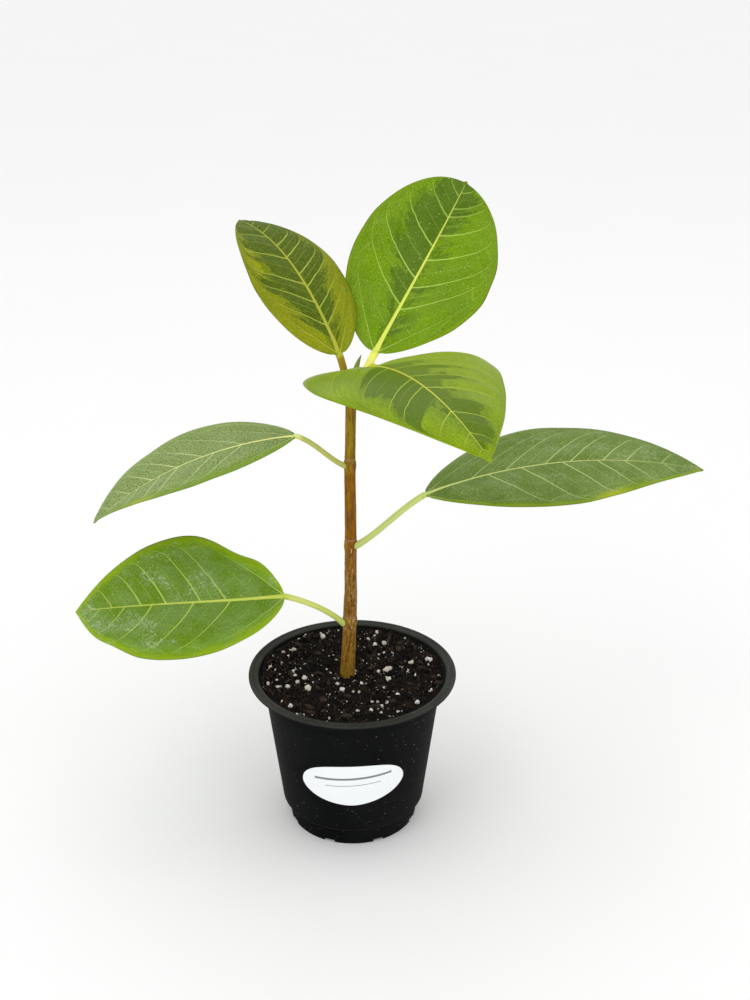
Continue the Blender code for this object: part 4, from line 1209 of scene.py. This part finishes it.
def box_shapes(centres, half_sizes, turns, tall):
    """Points and faces of upright boxes, each turned about Z."""
    corner = np.array([[1, 1], [-1, 1], [-1, -1], [1, -1]]) * half_sizes
    cos, sin = np.cos(turns)[:, None], np.sin(turns)[:, None]
    x = centres[:, :1] + corner[:, 0] * cos - corner[:, 1] * sin
    y = centres[:, 1:] + corner[:, 0] * sin + corner[:, 1] * cos
    low = np.stack([x, y, np.full_like(x, tall[0])], -1)
    high = np.stack([x, y, np.full_like(x, tall[1])], -1)
    points = np.stack([low, high], 1).reshape(-1, 3)
    one = np.array([[3, 2, 1, 0], [4, 5, 6, 7], [0, 1, 5, 4],
                    [1, 2, 6, 5], [2, 3, 7, 6], [3, 0, 4, 7]])
    return points, [(one[None] + 8 * np.arange(len(centres))[:, None, None]).reshape(-1, 4)]


POT_SIDES = 256
FOOT_CUTS = 8
NOTCH_HALF_SIZE = np.array([1.6, 3.0])
NOTCH_TOP = 1.6
DRAIN_REACH = 24.0
DRAIN_RADIUS = 3.5
DRAIN_SIDES = 40


def make_pot():
    """The pot: its section turned once round, then drained and notched underneath.

    The notches are boxes through the foot and the drains are round plugs, eight of each.
    """
    sides = POT_SIDES
    profile = pot_profile()
    angle = full_turn(sides)
    radius, height = profile[1:-1, 0][:, None], profile[1:-1, 1][:, None]
    rings = np.stack([radius * np.cos(angle), radius * np.sin(angle), height + 0 * angle], -1)
    pot = make_loft("nursery_pot", rings * MM, plastic_material())
    turns = (np.arange(FOOT_CUTS) + 0.53) * math.pi / 4
    middles = (FOOT_RADIUS - 0.5) * np.stack([np.cos(turns), np.sin(turns)], -1)
    boxes, faces = box_shapes(middles, NOTCH_HALF_SIZE, turns, (-1.0, NOTCH_TOP))
    cut(pot, (boxes * MM, faces))
    turns = (np.arange(FOOT_CUTS) + 0.03) * math.pi / 4
    ring = np.arange(DRAIN_SIDES)
    round_turn = full_turn(DRAIN_SIDES)
    rim = np.stack([np.cos(round_turn), np.sin(round_turn)], -1) * DRAIN_RADIUS
    discs = [np.column_stack([rim + DRAIN_REACH * np.array([math.cos(a), math.sin(a)]),
                              np.full(DRAIN_SIDES, z)]) for a in turns for z in (1.0, 4.4)]
    after = (ring + 1) % DRAIN_SIDES
    walls = np.stack([ring, after, after + DRAIN_SIDES, ring + DRAIN_SIDES], -1)
    first = 0 * ring[1:-1]
    lids = np.concatenate([np.stack([first, after[1:-1], ring[1:-1]], -1),
                           np.stack([first, ring[1:-1], after[1:-1]], -1) + DRAIN_SIDES])
    many = [np.concatenate([part + 2 * DRAIN_SIDES * k for k in range(FOOT_CUTS)])
            for part in (walls, lids)]
    cut(pot, (np.concatenate(discs) * MM, many))
    pot.data.set_sharp_from_angle(angle=math.radians(40))
    stand_in(pot, "black_plastic", "pot")


LABEL_HALF_WIDTH = 28.5
LABEL_MIDDLE = 46.0
PRINTED_LINES = ((0.10, 0.045, 0.72), (-0.20, 0.014, 0.52))    # place, half thickness, reach


def make_label():
    """The sticker: its outline shrunk to the middle in rings, bent round the wall.

    The outline is a flat-topped arch over a half oval, sagging toward both ends. The
    outer face stands 0.16 mm off the wall and curves down to the inner face, 0.01 mm
    off the wall, at the edge.
    """
    half, middle, count = LABEL_HALF_WIDTH, LABEL_MIDDLE, 240
    turn = full_turn(count)
    across = np.cos(turn)
    upper = 9.9 * np.sqrt(np.clip(1 - across ** 4, 0, 1))
    lower = -16.6 * np.clip(1 - np.abs(across) ** 1.7, 0, 1) ** (1 / 1.7)
    height = np.where(np.sin(turn) > 0, upper, lower) - 3.8 * across ** 2 + across
    shares = np.concatenate([np.linspace(0.02, 0.96, 30), np.linspace(0.975, 1.0, 4)])
    lifts = np.concatenate([np.full(30, 0.16), [0.155, 0.14, 0.11, 0.06]])
    lifts = np.concatenate([lifts, np.full(len(shares), 0.01)])
    shares = np.concatenate([shares, shares[::-1]])
    z = middle + height[None] * shares[:, None]
    radius = wall_radius(z) + lifts[:, None]
    angle = (across[None] * shares[:, None] * half + 0.55) / wall_radius(middle)
    rings = np.stack([radius * np.sin(angle), -radius * np.cos(angle), z], -1)
    flat = np.stack([across[None] * shares[:, None], height[None] * shares[:, None] / 15.0,
                     0 * z], -1)
    material, tree, shader = new_material("label_paper", Specular_IOR_Level=0.5, Coat_Weight=0.25,
                                          Coat_Roughness=0.2)
    spot = field(tree, "flat", "Vector")
    split = xyz(tree, spot)
    soft = cloud(tree, spot, 3.0, 3.0)
    colour = blend(tree, rise(tree, soft, 0.3, 0.7), (0.94, 0.985, 0.995), (0.97, 0.99, 1.0))
    wide = unsigned(tree, split[0])
    tilt = scaled(tree, split[0], -0.16, split[1])
    for middle_line, thick, reach in PRINTED_LINES:
        line = apart(tree, tilt, middle_line)
        line = fall(tree, line, thick - 0.004, thick + 0.004)
        line = times(tree, line, calc(tree, "LESS_THAN", wide, reach))
        colour = blend(tree, times(tree, line, 0.85), colour, (0.07, 0.08, 0.085))
    finish_surface(tree, shader, colour, rise(tree, soft, 0.2, 0.8, 0.28, 0.4),
                   cloud(tree, object_place(tree), 900.0, 2.0), 0.00003)
    piece = make_loft("blank_label", rings * MM, material, {"flat": flat})
    stand_in(piece, "label", "label")


# ---------------------------------------------------------------- soil

SOIL_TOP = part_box("soil")[1].z / MM
SOIL_FALL_RIGHT = 0.02
SOIL_RISE_BACK = 0.01
SOIL_LUMP = 0.6


def soil_level(x, y):
    """Height of the soil before its crumbs (mm): a leaning plane with low lumps."""
    lumps = (np.sin(0.21 * x + 1.3) * np.cos(0.24 * y - 0.4)
             + 0.5 * np.sin(0.43 * x - 0.37 * y + 2.0))
    return SOIL_TOP - 1.85 - SOIL_FALL_RIGHT * x + SOIL_RISE_BACK * y + SOIL_LUMP * lumps


def soil_height(x, y):
    """Height of the soil with its crumbs: clods and grit, each on two scales, and broad
    hollows. A clod is the size of a noise without its sign.
    """
    spot = np.stack([x, y, 0 * x], -1)
    clods = np.abs(noise(spot, 3.1, 21)) * 0.9 + np.abs(noise(spot, 1.5, 22)) * 0.7
    grit = noise(spot, 0.7, 23) * 0.28 + noise(spot, 0.38, 24) * 0.16
    hollow = noise(spot, 9.0, 25) * 0.55
    return soil_level(x, y) - 0.55 + clods + grit + hollow


def soil_material():
    """Dark damp peat: near black and brown crumbs with a few light fibres."""
    material, tree, shader = new_material("peat", Specular_IOR_Level=0.15)
    place = object_place(tree)
    crumbs = cells(tree, place, 620.0)
    pick = channels(tree, crumbs)[0]
    wide = cloud(tree, place, 90.0, 3.0)
    fine = cloud(tree, place, 1500.0, 4.0, 0.7)
    colour = blend(tree, rise(tree, pick, 0.35, 0.95),
                   (0.0022, 0.0018, 0.0016), (0.0120, 0.0070, 0.0046))
    colour = blend(tree, rise(tree, wide, 0.5, 0.72, 0.0, 0.6), colour, (0.030, 0.0145, 0.0085))
    colour = blend(tree, rise(tree, fine, 0.62, 0.74, 0.0, 0.55), colour, (0.075, 0.045, 0.024))
    dots = cells(tree, place, 760.0)
    chance = channels(tree, dots)[1]
    white = times(tree, calc(tree, "GREATER_THAN", chance, 0.962),
                  calc(tree, "LESS_THAN", dots.outputs["Distance"], 0.24))
    colour = blend(tree, times(tree, white, 0.8), colour, (0.72, 0.68, 0.60))
    relief = plus(tree, fine, crumbs.outputs["Distance"])
    finish_surface(tree, shader, colour, rise(tree, fine, 0.2, 0.8, 0.62, 0.98), relief, 0.0005)
    return material


def make_soil(material):
    """The soil plug: a disc of rings with crumbs, then down its side and under it."""
    sides, rings_out = 420, 200
    angle = full_turn(sides)
    edge = np.full(sides, wall_radius(SOIL_TOP - 1.5) - WALL - 0.05)
    share = np.linspace(1, 0.004, rings_out)[:, None] ** 0.8
    x, y = edge * share * np.cos(angle), edge * share * np.sin(angle)
    top = np.stack([x, y, soil_height(x, y)], -1)
    limit = (wall_radius(top[..., 2]) - WALL - 0.05)[..., None]
    length = np.linalg.norm(top[..., :2], axis=-1, keepdims=True)
    top[..., :2] *= np.minimum(1.0, limit / length)
    side = []
    for z in (3.4, 9.9, 12.5, 50.0, 76.0, 79.0, 82.0):
        reach = wall_radius(z if z > 10 else 3.0) - WALL - 0.1
        side.append(np.stack([reach * np.cos(angle), reach * np.sin(angle),
                              np.full(sides, z)], -1))
    piece = make_loft("potting_soil", np.concatenate([np.array(side), top]) * MM, material)
    stand_in(piece, "soil", "soil")


def lump_shape(detail):
    """Points and triangles of a ball built from an icosahedron."""
    bm = bmesh.new()
    bmesh.ops.create_icosphere(bm, subdivisions=detail, radius=1.0)
    points = np.array([vert.co[:] for vert in bm.verts])
    faces = np.array([[vert.index for vert in face.verts] for face in bm.faces])
    bm.free()
    return points, faces


def spin_about(vectors, rng):
    """Random rotation matrices, one for each copy, from random unit quaternions."""
    q = unit(rng.standard_normal((vectors, 4)))
    w, x, y, z = q.T
    return np.stack([
        np.stack([1 - 2 * (y * y + z * z), 2 * (x * y - z * w), 2 * (x * z + y * w)], -1),
        np.stack([2 * (x * y + z * w), 1 - 2 * (x * x + z * z), 2 * (y * z - x * w)], -1),
        np.stack([2 * (x * z - y * w), 2 * (y * z + x * w), 1 - 2 * (x * x + y * y)], -1)], 1)


def scatter(name, count, sizes, stretch, seed, sink, material, reach=1.0, rough=0.25):
    """Many small crumbs on the soil as one mesh.

    Each is a low ball with its points pushed in and out at random, stretched, turned
    and set on the soil at a random place, sunk by a share of its size.
    """
    rng = np.random.default_rng(seed)
    ball, faces = lump_shape(1)
    radius = np.sqrt(rng.uniform(0, 1, count)) * (wall_radius(SOIL_TOP - 2) - WALL - 1.2) * reach
    turn = rng.uniform(0, 2 * math.pi, count)
    middle = np.stack([radius * np.cos(turn), radius * np.sin(turn)], -1)
    size = sizes[0] * (sizes[1] / sizes[0]) ** (rng.uniform(0, 1, count) ** 2.2) / 2
    shape = ball[None] * (1 + rough * rng.standard_normal((count, len(ball), 1)))
    shape = shape * (1 + (np.asarray(stretch) - 1) * rng.uniform(0.5, 1, (count, 1, 3)))
    shape = np.einsum("nij,nkj->nki", spin_about(count, rng), shape) * size[:, None, None]
    shape[..., :2] += middle[:, None]
    shape[..., 2] += (soil_height(middle[:, 0], middle[:, 1]) + size * (1 - 2 * sink))[:, None]
    index = (faces[None] + len(ball) * np.arange(count)[:, None, None]).reshape(-1, 3)
    piece = make_piece(name, shape.reshape(-1, 3) * MM, [index], material)
    piece.data.set_sharp_from_angle(angle=math.radians(50))
    return piece


def perlite_material():
    """Perlite: off-white, chalky, pitted, with cream and grey grains among them."""
    material, tree, shader = new_material("perlite", Specular_IOR_Level=0.3)
    place = object_place(tree)
    pits = cells(tree, place, 2300.0).outputs["Distance"]
    fine = cloud(tree, place, 1800.0, 4.0, 0.7)
    wide = cloud(tree, place, 130.0, 2.0)
    colour = blend(tree, rise(tree, wide, 0.35, 0.65), (0.95, 0.92, 0.89), (0.80, 0.73, 0.62))
    colour = blend(tree, rise(tree, fine, 0.35, 0.6, 0.4, 0.0), colour, (0.35, 0.28, 0.22))
    relief = plus(tree, pits, fine)
    finish_surface(tree, shader, colour, rise(tree, fine, 0.2, 0.8, 0.8, 0.98), relief, 0.0003)
    return material


def chip_material():
    """Bark chips: dark brown, fibrous along their length."""
    material, tree, shader = new_material("bark_chip", Specular_IOR_Level=0.25)
    place = object_place(tree)
    fibre = stretched(tree, place, (0.25, 1.0, 1.0), (0.2, 0.1, 0.6))
    streak = cloud(tree, fibre, 1500.0, 4.0, 0.65)
    colour = blend(tree, rise(tree, streak, 0.35, 0.68),
                   (0.010, 0.006, 0.0042), (0.058, 0.033, 0.020))
    finish_surface(tree, shader, colour, rise(tree, streak, 0.2, 0.8, 0.7, 0.95), streak, 0.0005)
    return material


def make_lump(node, piece_name, slot, material, detail, pits, chip=False):
    """One grain or chip in place of its CAD lump.

    A fine ball takes the CAD box's size, is pushed in and out by noise on two scales,
    and for a chip by a third one drawn out along it, and sits a little into the soil.
    """
    low, high = (np.array(corner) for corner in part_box(node))
    middle, half = (low + high) / 2, (high - low) / 2
    points, faces = lump_shape(detail)
    seed = int(node[-2:].strip("_")) * 7 + (50 if chip else 0)
    squash = points * np.array([1.0, 1.0, 0.9])
    bulge = 1 + 0.34 * noise(squash + seed, 0.9, seed)
    bulge = bulge + pits * noise(squash + seed, 0.36, seed + 1)
    if chip:
        bulge = bulge * (1 + 0.1 * noise(squash * (1, 4, 4) + seed, 0.5, seed + 2))
    points = points * bulge[:, None] * half * 1.02 + middle
    centre = middle[:2] / MM
    ground = soil_height(centre[0], centre[1]) * MM
    points[:, 2] += ground - points[:, 2].min() - 0.5 * half[2]
    piece = make_piece(piece_name, points, [faces], material)
    stand_in(piece, slot, node)


def make_fibres(material):
    """Short dark root fibres lying on the soil: thin bent five-sided tubes."""
    rng = np.random.default_rng(77)
    count, rows, sides = 420, 7, 5
    radius = np.sqrt(rng.uniform(0, 1, count)) * 44.0
    turn = rng.uniform(0, 2 * math.pi, count)
    length = rng.uniform(1.8, 6.5, count)
    heading = rng.uniform(0, 2 * math.pi, count)
    bend = rng.uniform(-1.2, 1.2, count)
    u = np.linspace(-0.5, 0.5, rows)
    angle = heading[:, None] + bend[:, None] * u
    x = (radius * np.cos(turn))[:, None] + np.cos(angle) * length[:, None] * u
    y = (radius * np.sin(turn))[:, None] + np.sin(angle) * length[:, None] * u
    ground = soil_height(x, y)
    z = ground + 0.15 + (ground.mean(1, keepdims=True) - ground) * 0.6
    path = np.stack([x, y, z], -1)
    thick = rng.uniform(0.07, 0.22, count)[:, None] * np.cos(u * 2.6) ** 0.5
    ring = full_turn(sides)
    flat = np.stack([-np.sin(angle), np.cos(angle), 0 * angle], -1)
    points = (path[:, :, None] + thick[:, :, None, None] * (
        flat[:, :, None] * np.cos(ring)[None, None, :, None]
        + np.array([0, 0, 1.0]) * np.sin(ring)[None, None, :, None]))
    one = band(rows, sides)
    faces = (one[None] + rows * sides * np.arange(count)[:, None, None]).reshape(-1, 4)
    ends = np.array([[4, 3, 2, 1, 0], list(range((rows - 1) * sides, rows * sides))])
    lids = (ends[None] + rows * sides * np.arange(count)[:, None, None]).reshape(-1, sides)
    piece = make_piece("peat_fibres", points.reshape(-1, 3) * MM, [faces, lids], material)
    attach(piece, BODY)


def make_ground_cover():
    """Everything loose on the soil, from the big grains down to dust-like crumbs."""
    peat, perlite, chip = soil_material(), perlite_material(), chip_material()
    make_soil(peat)
    for node in sorted(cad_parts):
        if node.startswith("perlite"):
            make_lump(node, node.replace("perlite", "perlite_grain"), "perlite", perlite, 4, 0.16)
        if node.startswith("bark_chip"):
            make_lump(node, node.replace("bark_chip", "composted_bark"), "bark_chip", chip,
                      4, 0.1, chip=True)
    for name, args, slot, mat in (
            ("small_perlite", (320, (0.4, 2.1), (1.5, 0.8, 0.7), 5, 0.35), "perlite", perlite),
            ("peat_crumbs", (1700, (0.6, 2.6), (1.4, 0.9, 0.8), 6, 0.3), "soil", peat),
            ("bark_crumbs", (520, (0.9, 3.4), (2.2, 0.7, 0.5), 7, 0.3), "bark_chip", chip)):
        piece = scatter(name, *args, mat)
        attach(piece, BODY)
    make_fibres(chip)


def dress_roots():
    """The roots stay as the CAD made them, with a pale fibrous skin."""
    material, tree, shader = new_material("root_skin")
    streak = cloud(tree, object_place(tree), 900.0, 3.0)
    colour = blend(tree, streak, (0.22, 0.13, 0.06), (0.5, 0.38, 0.22))
    finish_surface(tree, shader, colour, rise(tree, streak, 0.2, 0.8, 0.7, 0.9), streak, 0.0003)
    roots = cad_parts["roots"]
    roots.data.materials.clear()
    roots.data.materials.append(material)


# ---------------------------------------------------------------- studio


FLOOR_REACH = 6.0
SKY_STRENGTH = 0.95
LAMPS = (    # name, place, aim, width in metres, power in watts
    ("key", (-0.55, -0.75, 1.25), (0.0, 0.0, 0.18), 0.7, 2.2),
    ("fill", (0.95, -0.55, 0.75), (0.0, 0.0, 0.15), 0.9, 0.6),
    ("top", (0.1, 0.35, 1.35), (0.0, 0.0, 0.2), 0.8, 1.0))
LENS = 54.0
EYE = (0.012, -0.6852, 0.5015)
LOOKING_DOWN = 24.7


def make_studio():
    """A pale floor, a white sky, three soft lamps and the camera."""
    material, tree, shader = new_material("floor", Roughness=0.9)
    soft = cloud(tree, object_place(tree), 6.0, 2.0)
    finish_surface(tree, shader, blend(tree, soft, (0.95, 0.95, 0.95), (0.97, 0.97, 0.97)))
    corner = np.array([[-1, -1, 0], [1, -1, 0], [1, 1, 0], [-1, 1, 0]]) * FLOOR_REACH
    mesh = bpy.data.meshes.new("floor")
    mesh.from_pydata(corner.tolist(), [], [(0, 1, 2, 3)])
    mesh.materials.append(material)
    floor = bpy.data.objects.new("floor", mesh)
    bpy.context.scene.collection.objects.link(floor)

    scene = bpy.context.scene
    world = bpy.data.worlds.new("studio")
    world.use_nodes = True
    world.node_tree.nodes["Background"].inputs["Color"].default_value = (1.0, 1.0, 1.0, 1.0)
    world.node_tree.nodes["Background"].inputs["Strength"].default_value = SKY_STRENGTH
    scene.world = world
    scene.view_settings.view_transform = "Standard"
    for name, place, aim, size, power in LAMPS:
        lamp = bpy.data.lights.new(name, "AREA")
        lamp.shape = "DISK"
        lamp.size, lamp.energy = size, power
        item = bpy.data.objects.new(name, lamp)
        item.location = place
        direction = np.array(aim) - np.array(place)
        item.rotation_euler = (math.acos(-direction[2] / np.linalg.norm(direction)), 0.0,
                               math.atan2(direction[1], direction[0]) - math.pi / 2)
        scene.collection.objects.link(item)

    camera = bpy.data.cameras.new("camera")
    camera.lens, camera.sensor_width = LENS, 36.0
    camera.clip_start = 0.01
    eye = bpy.data.objects.new("camera", camera)
    eye.location = EYE
    eye.rotation_euler = (math.radians(90.0 - LOOKING_DOWN), 0.0, 0.0)
    scene.collection.objects.link(eye)
    scene.camera = eye


make_pot()
make_label()
make_ground_cover()
make_stem()
dress_roots()
for leaf_node, leaf_shape in LEAVES.items():
    make_leaf(leaf_node, leaf_shape)
make_bud()
make_studio()
